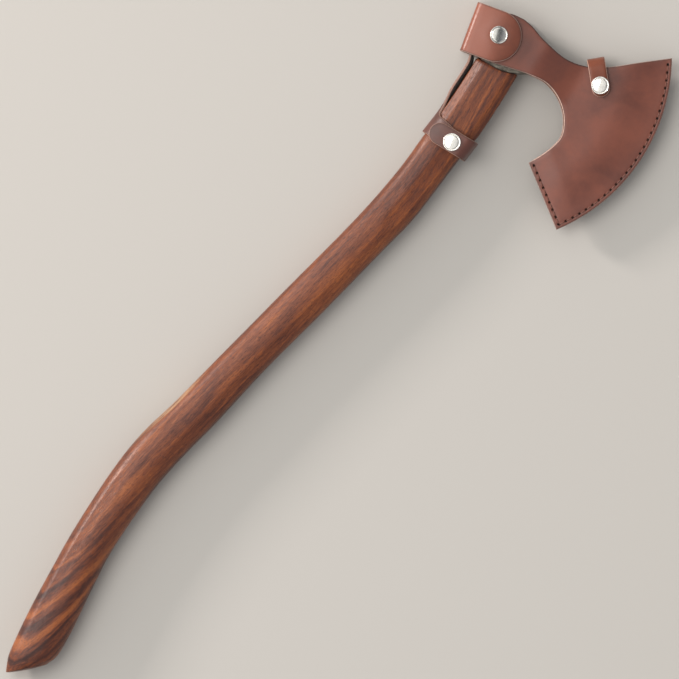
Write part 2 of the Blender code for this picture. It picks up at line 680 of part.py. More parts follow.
def build_snap(name, place, base, strap, sheath, flap, leather_below):
    """One press snap: stud and eyelet on the leather below, socket and cap on the flap."""
    foot = base + GAP
    stud = [(1.7, foot), (5.0, foot), (5.0, foot + 0.5), (2.9, foot + 0.7), (2.3, foot + 1.1), (2.6, foot + 1.4),
            (2.2, foot + 1.7), (1.7, foot + 1.7)]
    solid(name + "_stud", *turned(stud, place, 16), "snap_metal", sheath)
    under = base - leather_below
    eyelet = [(0, under - GAP - 0.6), (4.6, under - GAP - 0.6), (4.6, under - GAP), (1.8, under - GAP),
              (1.8, base), (1.4, base), (1.4, foot + 1.3), (0, foot + 1.3)]
    solid(name + "_eyelet", *turned(eyelet, place, 16), "snap_metal", sheath)
    roof = base + LIFT - GAP
    socket = [(2.9, roof - 1.0), (3.4, roof - 1.2), (5.2, roof - 1.2), (5.6, roof - 0.8), (5.6, roof),
              (2.9, roof)]
    solid(name + "_socket", *turned(socket, place, 16), "snap_metal", flap)
    rim = base + LIFT + strap + GAP
    cap = [(0, rim - strap - 2 * GAP), (1.8, rim - strap - 2 * GAP), (1.8, rim), (CAP_RADIUS, rim),
           (CAP_RADIUS, rim + 0.5), (6.1, rim + 1.0), (4.5, rim + 1.45), (2.3, rim + 1.72), (0, rim + CAP_HEIGHT)]
    solid(name + "_cap", *turned(cap, place, 24), "snap_metal", flap)


def main():
    clear_scene()
    flap_z = EYE_HALF + CLEAR_FRONT + LEATHER + LIFT + LEATHER
    fold_u = WRAP_BACK + LEATHER + BEND
    top_z = POCKET_HALF + LEATHER + LIFT + STRAP
    axe = pivot("axe", (0, 0, 0))
    sheath = pivot("sheath", (0, 0, 0))
    poll = pivot("poll_flap_axis", wrap_point(fold_u, 0, flap_z))
    top = pivot("top_flap_axis", top_point(TOP_FOLD, 0, top_z))
    tongue = pivot("collar_tongue_axis", (COLLAR_HINGE, COLLAR_Y, COLLAR_TONGUE_Z + STRAP))
    build_head(axe)
    build_haft(axe)
    build_panels(sheath)
    build_welt(sheath)
    build_stitching(sheath)
    build_poll_wrap(sheath)
    build_poll_flap(poll)
    build_top_strap(sheath, top)
    build_handle_strap(sheath)
    build_strap_stitching(sheath)
    build_tongue(tongue)
    eye_base = EYE_HALF + CLEAR_FRONT + LEATHER
    build_snap("poll_snap", POLL_SNAP, eye_base, LEATHER, sheath, poll, LEATHER)
    build_snap("top_snap", TOP_SNAP, POCKET_HALF + LEATHER, STRAP, sheath, top, LEATHER)
    build_snap("collar_snap", COLLAR_SNAP, COLLAR_ARM_Z + STRAP, STRAP, sheath, tongue, STRAP)


main()
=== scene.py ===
"""Looks of the carving hatchet: its rosewood haft, forged head and snap-fastened leather sheath.

Pieces are drawn in millimetres around the middle of the head's eye, as the CAD part is: there +X
points to the cutting edge, +Y up the haft and +Z out of the side that carries the snaps. Leather is
cut from flat patterns, which are then bent into place with rounded rims and real needle holes.
"""

import bisect
import math

import bmesh
import bpy
import numpy as np
from mathutils import Matrix, Vector, noise
from mathutils.geometry import delaunay_2d_cdt


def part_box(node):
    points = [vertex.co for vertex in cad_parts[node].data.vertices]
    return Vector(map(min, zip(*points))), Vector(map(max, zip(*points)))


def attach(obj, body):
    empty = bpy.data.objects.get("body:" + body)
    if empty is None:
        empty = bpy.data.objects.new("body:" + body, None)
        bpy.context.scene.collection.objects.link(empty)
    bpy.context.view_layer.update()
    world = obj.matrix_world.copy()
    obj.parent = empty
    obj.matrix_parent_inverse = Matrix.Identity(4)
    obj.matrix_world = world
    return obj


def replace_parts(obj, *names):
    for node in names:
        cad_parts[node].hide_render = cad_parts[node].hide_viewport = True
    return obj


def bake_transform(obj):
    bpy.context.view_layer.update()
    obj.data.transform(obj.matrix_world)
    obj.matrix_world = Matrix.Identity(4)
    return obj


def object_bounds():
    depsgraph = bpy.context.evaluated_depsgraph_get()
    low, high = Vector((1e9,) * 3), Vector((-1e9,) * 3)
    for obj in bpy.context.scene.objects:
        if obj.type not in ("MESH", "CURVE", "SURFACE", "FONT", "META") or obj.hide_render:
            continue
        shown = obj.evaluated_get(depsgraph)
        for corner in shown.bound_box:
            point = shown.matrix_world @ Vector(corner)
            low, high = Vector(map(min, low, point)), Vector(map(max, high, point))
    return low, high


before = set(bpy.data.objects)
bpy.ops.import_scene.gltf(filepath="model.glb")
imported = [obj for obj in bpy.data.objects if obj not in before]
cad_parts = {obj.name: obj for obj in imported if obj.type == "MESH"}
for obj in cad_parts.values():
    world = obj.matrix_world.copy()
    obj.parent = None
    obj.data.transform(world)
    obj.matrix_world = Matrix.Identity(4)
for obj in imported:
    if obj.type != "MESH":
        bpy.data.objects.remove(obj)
cad_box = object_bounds()

MM = 0.001
GAP = 0.3                       # between pieces that touch

# Head
EYE_HALF = 12.0                 # half of the head's thickness at the eye
BLADE_HALF = 3.8
BEVEL_HALF = 1.1                # half of its thickness above the ground bevel
BEVEL_WIDTH = 7.0
EDGE_HALF = 0.15
BLADE_RUN = 60.0                # from the bevel back to where the blade is as thick as the cheeks
ARC_CENTRE = (-12.2, -16.6)     # of the cutting edge and of the sheath's curved seam
EDGE_RADIUS = 133.0
CHEEK = (17.0, 55.0)            # X range over which the head narrows from the eye to the blade
BEARD_X = 50.0                  # from here on the blade keeps BEARD_CLEAR from the pocket's walls
BEARD_CLEAR = 1.0
BORE = (15.5, 9.1)              # half sizes of the oval eye

# Sheath
LEATHER = 2.4
STRAP = 2.0
SNAP_HOLE = 2.2
RIVET_HOLE = 1.9
SEAM_RADIUS = 141.0
SEAM_ANGLES = (-36.3, 30.4)     # degrees, from the bottom corner to the toe corner
HEEL = (57.8, -67.8)
BOTTOM = (101.5, -100.0)
TOE = (109.4, 54.8)
WELT_HALF = 1.5                 # half of the pocket's width at the seams
POCKET_HALF = 4.6
CLEAR_FRONT = 1.2
CLEAR_BACK = 0.4
SHOULDER = (22.0, 60.0)         # X range over which the pocket narrows from the eye to the blade
PINCH_CURVED = 38.0             # distance from the curved seam at which the pocket is at full width
PINCH_STRAIGHT = 20.0           # the same from the straight seam
WELT_WIDTH = 6.5
WELT_THICK_HALF = 1.2
STITCH_INSET = 3.0
STITCH_PITCH = 6.0
NEEDLE = (1.15, 0.68)           # half sizes of a needle hole, along and across the seam
THREAD = 0.8

# Poll wrap, in axes turned by WRAP_TILT: u runs to the tip of the flap, v across it
WRAP_TILT = math.radians(10.5)
WRAP_JOIN = -24.0               # u where the wrap meets the back panel
WRAP_WALL = -32.2               # u of the middle of the wall behind the poll
WRAP_V = (-16.3, 22.5)
WRAP_TIP = (-12.1, 3.06)        # u, v of the middle of the flap's round end
WRAP_TIP_RADIUS = 19.5
WRAP_BEND = 3.7                 # radius of the folds, at the leather's middle
WRAP_DROP = 2.2                 # from the crown at the snap to the fold over the poll

# Snaps
LIFT = 2.5                      # how far a closed snap holds the flap above the leather below it
CAP_RADIUS = 6.7
POLL_SNAP = (-10.8, 2.5)
TOP_SNAP = (73.8, 9.4)
COLLAR_SNAP = (0.4, -84.4)
EYE_BASE = EYE_HALF + CLEAR_FRONT + LEATHER     # outside of the front panel over the eye

# Top strap, in axes t (towards its tip, from the snap) and w across it
TOP_DIR = Vector((0.65, -0.76)).normalized()
TOP_HALF = 6.65
TOP_FOLD = -14.0                # t at which the strap starts to fold over the top edge
TOP_REACH = 7.0                 # how far the fold bulges beyond that
TOP_TIP = 2.0                   # t of the middle of the round tip
TOP_RIVET = -5.0                # t of the rivet
TOP_BACK_END = 1.0              # t of the end behind the back panel
TOP_BACK_FACE = -(POCKET_HALF + LEATHER + 0.8)      # Z at which the strap lies on the back panel
TOP_CORNER = 2.5                # radius of the back end's corners

# Handle strap and collar
COLLAR_Y = -83.5
COLLAR_HALF = 8.3
COLLAR_LEAN = 0.125
COLLAR_ARM = 14.6               # height of the middle of the short arm, under the tongue
COLLAR_TONGUE = 19.1            # height of the middle of the tongue
COLLAR_TIP = -10.5              # X of the middle of the tongue's round end
STRAP_HALF = 7.4
STRAP_LEAN = 0.20               # of the strap beside the haft, out at its upper edge

# Haft stations: back edge (x, y), front edge (x, y), half thickness
HAFT = [
    ((-16.0, -8.0), (17.0, -8.0), 11.2),
    ((-16.2, -25.0), (17.0, -25.0), 11.2),
    ((-17.0, -50.0), (16.5, -50.0), 11.5),
    ((-18.6, -72.0), (15.2, -72.0), 11.8),
    ((-20.4, -92.0), (12.0, -92.0), 12.1),
    ((-23.0, -120.0), (8.9, -120.0), 12.5),
    ((-27.7, -150.0), (5.2, -150.0), 12.8),
    ((-34.0, -180.0), (-2.0, -180.0), 13.0),
    ((-48.8, -240.0), (-16.0, -240.0), 13.0),
    ((-63.3, -300.0), (-31.0, -300.0), 13.2),
    ((-76.6, -355.0), (-42.6, -355.0), 13.6),
    ((-86.2, -390.0), (-51.0, -390.0), 14.0),
    ((-91.0, -425.0), (-57.0, -425.0), 14.3),
    ((-93.0, -475.0), (-60.2, -475.0), 14.5),
    ((-92.2, -510.0), (-58.2, -510.0), 14.5),
    ((-90.4, -547.0), (-55.0, -545.0), 14.2),
    ((-87.0, -581.0), (-54.5, -562.5), 13.6),
    ((-83.6, -592.5), (-55.4, -569.8), 12.2),
]
# The oblique end face of the haft, in the same terms
BUTT_END = ((-81.6, -596.7), (-57.8, -574.8), 10.2)
HAFT_DROP = 0.3                 # how far the butt lies below the eye's middle
HAFT_SIDES = 96
# The underside of the head round the haft, as (x, y)
LUG = [(-40.0, -20.5), (-12.0, -20.5), (-2.0, -20.3), (4.0, -20.0), (10.0, -18.5), (16.0, -16.1),
       (25.0, -11.3)]
TENON = (15.2, 8.8)             # half sizes, a little under the bore's
TENON_TOP = 17.9


def eye_middle():
    """The middle of the head's eye in the row frame, in millimetres."""
    low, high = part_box("poll_snap_cap")
    x, y = (low.x + high.x) / 2 / MM - POLL_SNAP[0], (low.y + high.y) / 2 / MM - POLL_SNAP[1]
    return Vector((x, y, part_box("back_panel")[0].z / MM + EYE_HALF + CLEAR_BACK + LEATHER))


EYE = eye_middle()


# ---------------------------------------------------------------- curves and shapes

def ramp(value):
    """Smooth step from 0 to 1."""
    value = min(max(value, 0.0), 1.0)
    return value * value * (3 - 2 * value)


def smooth_line(points, steps):
    """Points on a Catmull-Rom curve through the given ones."""
    pts = [Vector(p) for p in points]
    pts = [2 * pts[0] - pts[1]] + pts + [2 * pts[-1] - pts[-2]]
    line = []
    for a, b, c, d in zip(pts, pts[1:], pts[2:], pts[3:]):
        for k in range(steps):
            t = k / steps
            line.append(0.5 * (2 * b + (c - a) * t + (2 * a - 5 * b + 4 * c - d) * t ** 2
                               + (3 * b - a - 3 * c + d) * t ** 3))
    line.append(pts[-2])
    return line


def arc(centre, radius, start, end, steps):
    """Points of a circular arc, angles in degrees."""
    angles = [math.radians(start + (end - start) * k / steps) for k in range(steps + 1)]
    return [Vector((centre[0] + radius * math.cos(a), centre[1] + radius * math.sin(a))) for a in angles]


def dense(loop, step):
    """A closed loop with its long sides cut into steps."""
    made = []
    for a, b in zip(loop, loop[1:] + loop[:1]):
        count = max(1, round((b - a).length / step))
        made += [a + (b - a) * k / count for k in range(count)]
    return made


def between(points, x):
    """The height of a line of (x, y) points at x."""
    return float(np.interp(x, *zip(*points)))


class Track:
    """A flat curve measured by the length along it."""

    def __init__(self, points):
        self.points = [Vector(p) for p in points]
        self.marks = [0.0]
        for a, b in zip(self.points, self.points[1:]):
            self.marks.append(self.marks[-1] + (b - a).length)
        self.length = self.marks[-1]

    def at(self, length):
        """The point at a length; past its ends the curve goes straight on."""
        k = min(max(bisect.bisect(self.marks, length) - 1, 0), len(self.points) - 2)
        share = (length - self.marks[k]) / (self.marks[k + 1] - self.marks[k])
        return self.points[k].lerp(self.points[k + 1], share)

    def nearest(self, point):
        """The length at the curve's point nearest to a given one."""
        return min(zip(self.points, self.marks), key=lambda pair: (pair[0] - Vector(point)).length)[1]


def placed(name, data):
    """A new object in the scene."""
    made = bpy.data.objects.new(name, data)
    bpy.context.collection.objects.link(made)
    return made


def finish_mesh(name, verts, faces, body, materials, face_slots=None, pattern=None, edge=None, sharp=40.0):
    """A shown piece, from millimetre points around the eye."""
    mesh = bpy.data.meshes.new(name)
    mesh.from_pydata([(EYE + Vector(v)) * MM for v in verts], [], faces)
    for slot in materials:
        mesh.materials.append(slot)
    if face_slots:
        mesh.polygons.foreach_set("material_index", face_slots)
    pattern = pattern or verts
    spots = mesh.attributes.new("pattern", "FLOAT_VECTOR", "POINT")
    spots.data.foreach_set("vector", [float(c) for spot in pattern for c in spot])
    if edge is not None:
        away = mesh.attributes.new("edge", "FLOAT", "POINT")
        away.data.foreach_set("value", [float(e) for e in edge])
    work = bmesh.new()
    work.from_mesh(mesh)
    bmesh.ops.recalc_face_normals(work, faces=work.faces)
    work.to_mesh(mesh)
    work.free()
    mesh.shade_smooth()
    mesh.set_sharp_from_angle(angle=math.radians(sharp))
    made = placed(name, mesh)
    if body:
        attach(made, body)
    return made


def girdle(one, two):
    """The four-sided faces between two rings of as many points, given by their numbers."""
    return [[one[k - 1], one[k], two[k], two[k - 1]] for k in range(len(one))]


def turned(profile, sides=64):
    """A closed body turned about Z: profile lists (radius, z), from axis to axis or as a ring."""
    verts, rings = [], []
    for radius, z in profile:
        count = sides if radius else 1
        rings.append(list(range(len(verts), len(verts) + count)))
        for k in range(count):
            angle = 2 * math.pi * k / sides
            verts.append(Vector((radius * math.cos(angle), radius * math.sin(angle), z)))
    pairs = list(zip(rings, rings[1:]))
    if profile[0][0] > 0:
        pairs.append((rings[-1], rings[0]))
    faces = []
    for one, two in pairs:
        for k in range(sides):
            nxt = (k + 1) % sides
            corners = [one[k % len(one)], one[nxt % len(one)], two[nxt % len(two)], two[k % len(two)]]
            faces.append(list(dict.fromkeys(corners)))
    return verts, faces


def tube(path, sides_of, radius, closed=False, around=8):
    """A round tube; sides_of holds, for each point of the path, a direction square to it."""
    count = len(path)
    verts, faces = [], []
    for k, point in enumerate(path):
        after = path[(k + 1) % count] if closed else path[min(k + 1, count - 1)]
        before = path[k - 1] if closed else path[max(k - 1, 0)]
        run = (after - before).normalized()
        side = (sides_of[k] - run * sides_of[k].dot(run)).normalized()
        other = run.cross(side)
        for j in range(around):
            angle = 2 * math.pi * j / around
            verts.append(point + radius * (math.cos(angle) * side + math.sin(angle) * other))
    rings = [range(k * around, (k + 1) * around) for k in range(count)]
    for one, two in zip(rings, rings[1:] + rings[:closed]):
        faces += girdle(one, two)
    if not closed:
        faces += [list(rings[0]), list(rings[-1])]
    return verts, faces


# ---------------------------------------------------------------- plates cut from a flat pattern

STEP = 0.6          # half of the span over which a bent plate's direction is measured


def lifted(place, flip, a, b, height):
    """A point above the middle of a bent plate, towards its face."""
    along = place(a + STEP, b) - place(a - STEP, b)
    across = place(a, b + STEP) - place(a, b - STEP)
    return place(a, b) + flip * along.cross(across).normalized() * height


def wound(loop, left):
    """The loop, turning left or right."""
    area = sum(a.x * b.y - a.y * b.x for a, b in zip(loop, loop[1:] + loop[:1]))
    return list(loop) if (area > 0) == left else list(loop)[::-1]


def inward(loop):
    """For each point of a loop, the step to its left side, longer at corners."""
    steps = []
    for before, here, after in zip(loop[-1:] + loop[:-1], loop, loop[1:] + loop[:1]):
        one, two = (here - before).normalized(), (after - here).normalized()
        middle = Vector((-one.y - two.y, one.x + two.x)).normalized()
        steps.append(middle / max(middle.dot(Vector((-one.y, one.x))), 0.45))
    return steps


def rim_levels(half, rounding):
    """(inset, height) of each ring of points round a rim, from the face to the back."""
    big = min(rounding, 0.9 * half)
    small = big / 2
    angles = [math.radians(a) for a in (90, 60, 30, 0)]
    levels = [(big * (1 - math.cos(a)), half - big * (1 - math.sin(a))) for a in angles]
    return levels + [(0.0, small - half), (0.3 * big, 0.3 * small - half), (big, -half)]


def measure(points, loops):
    """Each point's distance from the loops, and whether it is inside an odd number of them."""
    best = np.full(len(points), 1e9)
    odd = np.zeros(len(points), bool)
    for loop in loops:
        for p, q in zip(loop, loop[1:] + loop[:1]):
            p, q = np.array(p), np.array(q)
            run = q - p
            share = np.clip(((points - p) @ run) / (run @ run), 0, 1)
            away = points - p - share[:, None] * run
            best = np.minimum(best, np.hypot(away[:, 0], away[:, 1]))
            if p[1] != q[1]:
                crosses = (p[1] > points[:, 1]) != (q[1] > points[:, 1])
                odd ^= crosses & (points[:, 0] < p[0] + run[0] * (points[:, 1] - p[1]) / run[1])
    return best, odd


def grid_points(loops, extra, grid):
    """A triangular grid inside the first loop, clear of all the loops and of the extra points."""
    corners = np.array([tuple(p) for p in loops[0]])
    (low_a, low_b), (high_a, high_b) = corners.min(0), corners.max(0)
    row_step = grid * math.sqrt(3) / 2
    rows, columns = np.mgrid[:int((high_b - low_b) / row_step) + 1, :int((high_a - low_a) / grid) + 1]
    columns = columns + 0.5 * (rows % 2)
    spots = np.stack([low_a + columns * grid, low_b + rows * row_step], -1).reshape(-1, 2)
    away, inside = measure(spots, loops)
    keep = inside & (away > grid * 0.55)
    for x, y in extra:
        keep &= np.hypot(spots[:, 0] - x, spots[:, 1] - y) > grid * 0.5
    return [Vector(p) for p in spots[keep]]


def plate(name, outline, place, half, body, materials, openings=(), spots=(), grid=2.6, rounding=0.7,
          butt=None, pattern=None, flip=1, relief=None, raw_and_lit=None):
    """A bent plate with rounded rims, as one closed mesh.

    outline and openings are loops in the flat pattern, where place(a, b) gives the plate's middle,
    half(a, b) half its thickness, pattern(a, b) its place on the hide, relief(a, b) how far its face
    is raised and raw_and_lit(a, b) how pale its cut edge is: the raw edge's tone, a painted highlight
    on rims that should look lit and painted shade on dark ones. Materials: face, rim, back and openings.
    At a = butt the plate ends square, to meet its neighbour."""
    pattern = pattern or (lambda a, b: (a, b))
    relief = relief or (lambda a, b: 0.0)
    # by default the cut edge is half pale: partly the raw edge's tone, partly painted light
    raw_and_lit = raw_and_lit or (lambda a, b: 0.45)
    rims = [(wound(dense(outline, grid), True), rounding, 1)]
    rims += [(wound(loop, False), 0.3, 3) for loop in openings]
    flat, edges, rim_spans = [], [], []
    for loop, rounding_here, _ in rims:
        steps = inward(loop)
        for point, step in zip(loop, steps):
            if butt is not None and abs(point.x - butt) < 1e-4:
                step.x = 0.0
        start = len(flat)
        flat += [p + s * rim_levels(half(*p), rounding_here)[0][0] for p, s in zip(loop, steps)]
        edges += [(start + k, start + (k + 1) % len(loop)) for k in range(len(loop))]
        rim_spans.append((start, steps))
    skin_loops = [flat[start:start + len(steps)] for start, steps in rim_spans]
    flat += [Vector(p) for p in spots]
    flat += grid_points(skin_loops, [tuple(p) for p in spots], grid)
    found, _, triangles, origins, *_ = delaunay_2d_cdt(flat, edges, [], 0, 1e-6)
    middles = np.array([tuple(sum((found[i] for i in t), Vector((0, 0))) / 3) for t in triangles])
    inside = measure(middles, skin_loops)[1]
    kept = [list(t) for t, ok in zip(triangles, inside) if ok]
    at = {origin: k for k, names in enumerate(origins) for origin in names}
    count = len(found)
    verts, marks = [], []
    for side in (1, -1):
        for a, b in found:
            height = side * half(a, b) + (relief(a, b) if side > 0 else 0.0)
            verts.append(lifted(place, flip, a, b, height))
            marks.append((*pattern(a, b), height))
    edge = list(measure(np.array([tuple(p) for p in found]), [rims[0][0]])[0]) * 2
    faces = kept + [[i + count for i in reversed(t)] for t in kept]
    slots = [0] * len(kept) + [2] * len(kept)
    for (loop, rounding_here, slot), (start, steps) in zip(rims, rim_spans):
        rings = [[at[start + k] for k in range(len(loop))]]
        for level in range(1, 6):
            rings.append(list(range(len(verts), len(verts) + len(loop))))
            for point, step in zip(loop, steps):
                inset, height = rim_levels(half(*point), rounding_here)[level]
                spot = point + step * inset
                sink = relief(*spot) * (5 - level) / 5
                verts.append(lifted(place, flip, *spot, height + sink))
                marks.append((*pattern(*spot), height))
                # rim points carry the edge's paleness, raw tone and painted light, as a negative edge value
                edge.append(-raw_and_lit(*point))
        rings.append([i + count for i in rings[0]])
        for one, two in zip(rings, rings[1:]):
            faces += girdle(one, two)
            slots += [slot] * len(one)
    return finish_mesh(name, verts, faces, body, materials, slots, marks, edge)


# ---------------------------------------------------------------- materials

def shaded(colour, share):
    return tuple(c * share for c in colour)


class Look:
    """The shader nodes of a material or of the world."""

    def __init__(self, owner):
        owner.use_nodes = True
        self.owner = owner
        self.tree = owner.node_tree
        self.shader = self.tree.nodes.get("Principled BSDF") or self.tree.nodes["Background"]

    def fill(self, node, inputs):
        """Gives a node its inputs, each a value or another node's output."""
        for key, value in inputs.items():
            if isinstance(value, bpy.types.NodeSocket):
                self.tree.links.new(value, node.inputs[key])
            else:
                node.inputs[key].default_value = value

    def put(self, kind, inputs, output=0, **settings):
        made = self.tree.nodes.new("ShaderNode" + kind)
        for key, value in settings.items():
            setattr(made, key, value)
        self.fill(made, inputs)
        return made.outputs[output]

    def math(self, operation, *values):
        return self.put("Math", dict(enumerate(values)), operation=operation)

    def ranged(self, value, low, high, first=0.0, last=1.0, **settings):
        """The value's place between low and high, as one between first and last."""
        return self.put("MapRange", dict(enumerate((value, low, high, first, last))), **settings)

    def graded(self, factor, *stops):
        """A colour ramp through stops of (place, colour)."""
        made = self.tree.nodes.new("ShaderNodeValToRGB")
        self.tree.links.new(factor, made.inputs[0])
        points = made.color_ramp.elements
        while len(points) < len(stops):
            points.new(0.5)
        for point, (place, colour) in zip(points, stops):
            point.position = place
            point.color = (*colour, 1.0)
        return made.outputs[0]

    def mixed(self, share, one, two):
        """Two colours mixed; two may be a triple."""
        two = (*two, 1.0) if isinstance(two, tuple) else two
        return self.put("Mix", {0: share, 6: one, 7: two}, 2, data_type="RGBA")

    def spot(self, stretch=(1.0, 1.0, 1.0), own=True):
        """Millimetre coordinates on the piece's own pattern or else on the object, divided by stretch."""
        if own:
            place = self.put("Attribute", {}, "Vector", attribute_name="pattern")
        else:
            place = self.put("VectorMath", {0: self.put("TexCoord", {}, "Object"), 1: (1000.0,) * 3},
                             operation="MULTIPLY")
        return self.put("VectorMath", {0: place, 1: stretch}, operation="DIVIDE")

    def edge(self):
        """The piece's own edge value at each point."""
        return self.put("Attribute", {}, "Fac", attribute_name="edge")

    def reach(self, x, y, centre):
        """The distance of (x, y) from a centre."""
        x, y = self.math("SUBTRACT", x, centre[0]), self.math("SUBTRACT", y, centre[1])
        return self.math("SQRT", self.math("MULTIPLY_ADD", x, x, self.math("MULTIPLY", y, y)))

    def cloud(self, size, detail=2.0, rough=0.5, bend=0.0, stretch=(1.0, 1.0, 1.0), own=True, spot=None):
        """Noise whose features are about size across."""
        return self.put("TexNoise", {"Vector": spot or self.spot(stretch, own), "Scale": 1.0 / size,
                                     "Detail": detail, "Roughness": rough, "Distortion": bend})

    def finish(self, colour, rough, height=None, strength=0.0, depth=0.0, metallic=0.0):
        """Sets the surface; height, from 0 to 1, raises it by depth in millimetres."""
        self.fill(self.shader, {"Base Color": colour, "Roughness": rough, "Metallic": metallic})
        if height:
            bump = self.put("Bump", {"Strength": strength, "Distance": depth * MM, "Height": height})
            self.fill(self.shader, {"Normal": bump})
        return self.owner


def new_look(name):
    return Look(bpy.data.materials.new(name))


def leather(name, dark, light, rough, painted_sheen_span=None):
    """Smooth full-grain leather: mottled dye, fine pores, faint creases and darker edges. A painted
    sheen lightens it along the pattern's X, fully between the inner two of the four places given."""
    look = new_look(name)
    mottle = look.cloud(34.0, 3.0, 0.55, 0.4)
    fine = look.cloud(3.2, 4.0, 0.6)
    tone = look.math("MULTIPLY_ADD", fine, 0.22, look.math("SUBTRACT", mottle, 0.11))
    base = look.graded(tone, (0.33, dark), (0.67, light))
    # painted sheen: the face is lighter over the given span
    if painted_sheen_span:
        along = look.put("SeparateXYZ", {0: look.spot()})
        rise, fall = (look.ranged(along, painted_sheen_span[a], painted_sheen_span[b], interpolation_type="SMOOTHSTEP")
                      for a, b in ((0, 1), (3, 2)))
        base = look.mixed(look.math("MULTIPLY", rise, fall), base, shaded(light, 1.2))
    base = look.mixed(look.ranged(look.edge(), 0.3, 1.8, 0.4, 0.0), base, shaded(dark, 0.55))
    pores = look.put("TexVoronoi", {"Vector": look.spot(), "Scale": 1.0 / 0.75, "Randomness": 1.0},
                     feature="DISTANCE_TO_EDGE")
    creases = look.cloud(1.9, 3.0, 0.65, 1.2, (1.0, 2.2, 1.0))
    height = look.math("MULTIPLY_ADD", look.ranged(pores, 0.0, 0.25), 0.35, creases)
    gloss = look.ranged(mottle, 0.3, 0.7, rough - 0.05, rough + 0.07)
    return look.finish(base, gloss, height, 0.32, 0.12)


def cut_edge(name, dyed_and_shaded, pale):
    """The leather's cut edge: pale fibres where it is raw, and pale as a painted highlight where a
    piece sets its rim lit; dark where it is dyed and burnished, and dark as painted shade where a
    piece sets a shadow line.
    """
    look = new_look(name)
    fibres = look.cloud(1.6, 3.0, 0.65, stretch=(1.0, 1.0, 0.22))
    tones = [look.graded(fibres, (0.35, shaded(tone, 0.6)), (0.62, tone)) for tone in (dyed_and_shaded, pale)]
    # the edge value mixes the dark and pale tones: edge rawness together with painted light and shade
    return look.finish(look.mixed(look.ranged(look.edge(), 0.0, -1.0), *tones), 0.62, fibres, 0.5, 0.15)


def suede(name, dark, light):
    """The leather's flesh side: matt nap in short streaks."""
    look = new_look(name)
    nap = look.cloud(1.1, 4.0, 0.7, 0.6, (1.0, 2.6, 1.0))
    tone = look.math("MULTIPLY_ADD", nap, 0.6, look.math("MULTIPLY", look.cloud(18.0), 0.4))
    look.fill(look.shader, {"Sheen Weight": 0.25})
    return look.finish(look.graded(tone, (0.36, dark), (0.64, light)), 0.95, nap, 0.8, 0.35)


def waxed_thread(name, colour):
    look = new_look(name)
    twist = look.put("TexWave", {"Vector": look.spot(own=False), "Scale": 0.55, "Distortion": 0.6,
                                 "Detail": 1.0}, "Fac", bands_direction="DIAGONAL")
    shade = look.graded(twist, (0.2, shaded(colour, 0.55)), (0.8, colour))
    return look.finish(shade, 0.5, twist, 0.6, 0.12)


def rosewood(name):
    """Oiled rosewood: rings cut lengthwise, short fine fibres, dark pores and a pale sapwood sliver."""
    look = new_look(name)
    x, y, z = (look.put("SeparateXYZ", {0: look.spot()}, axis) for axis in range(3))
    rings = look.reach(x, z, (98.0, -34.0))
    rings = look.math("MULTIPLY_ADD", look.cloud(15.0, 2.5, stretch=(1.0, 5.0, 1.0)), 10.0, rings)
    bands = look.put("TexNoise", {"W": look.math("DIVIDE", rings, 6.0), "Scale": 1.0, "Detail": 2.0,
                                  "Roughness": 0.55}, noise_dimensions="1D")
    patches = look.cloud(20.0, 2.0, stretch=(1.0, 3.2, 1.0))
    fibres = look.cloud(0.85, 3.0, 0.6, stretch=(1.0, 9.0, 1.0))
    streaks = look.cloud(1.8, 2.0, 0.55, stretch=(1.0, 22.0, 1.0))
    butt = look.ranged(y, -470.0, -540.0, 0.30, 0.72)
    neck = look.ranged(y, -130.0, -60.0, 0.0, 0.25)
    tone, contrast = 0.5, look.math("ADD", butt, neck)
    for part, weight in ((bands, contrast), (patches, 0.42), (fibres, 0.36), (streaks, 0.20)):
        tone = look.math("MULTIPLY_ADD", look.math("SUBTRACT", part, 0.5), weight, tone)
    base = look.graded(tone, (0.28, (0.040, 0.015, 0.012)), (0.42, (0.092, 0.028, 0.017)),
                       (0.53, (0.180, 0.051, 0.021)), (0.66, (0.290, 0.088, 0.028)))
    pale = look.graded(streaks, (0.42, (0.17, 0.085, 0.055)), (0.58, (0.46, 0.27, 0.15)))
    pits = look.ranged(look.cloud(0.38, 1.0, stretch=(1.0, 7.0, 1.0)), 0.57, 0.68)
    base = look.mixed(look.edge(), base, pale)
    base = look.mixed(look.math("MULTIPLY", pits, 0.6), base, (0.030, 0.012, 0.009))
    look.fill(look.shader, {"Specular IOR Level": 0.32})
    return look.finish(base, look.ranged(fibres, 0.3, 0.7, 0.44, 0.33), look.math("SUBTRACT", fibres, pits),
                       0.35, 0.16)


def pale_wood(name):
    """The wooden wedge: hard pale wood, its grain down into the eye."""
    look = new_look(name)
    grain = look.cloud(0.9, 3.0, 0.6, stretch=(1.0, 12.0, 1.0), own=False)
    return look.finish(look.graded(grain, (0.35, (0.36, 0.22, 0.11)), (0.65, (0.60, 0.42, 0.24))), 0.62,
                       grain, 0.4, 0.15)


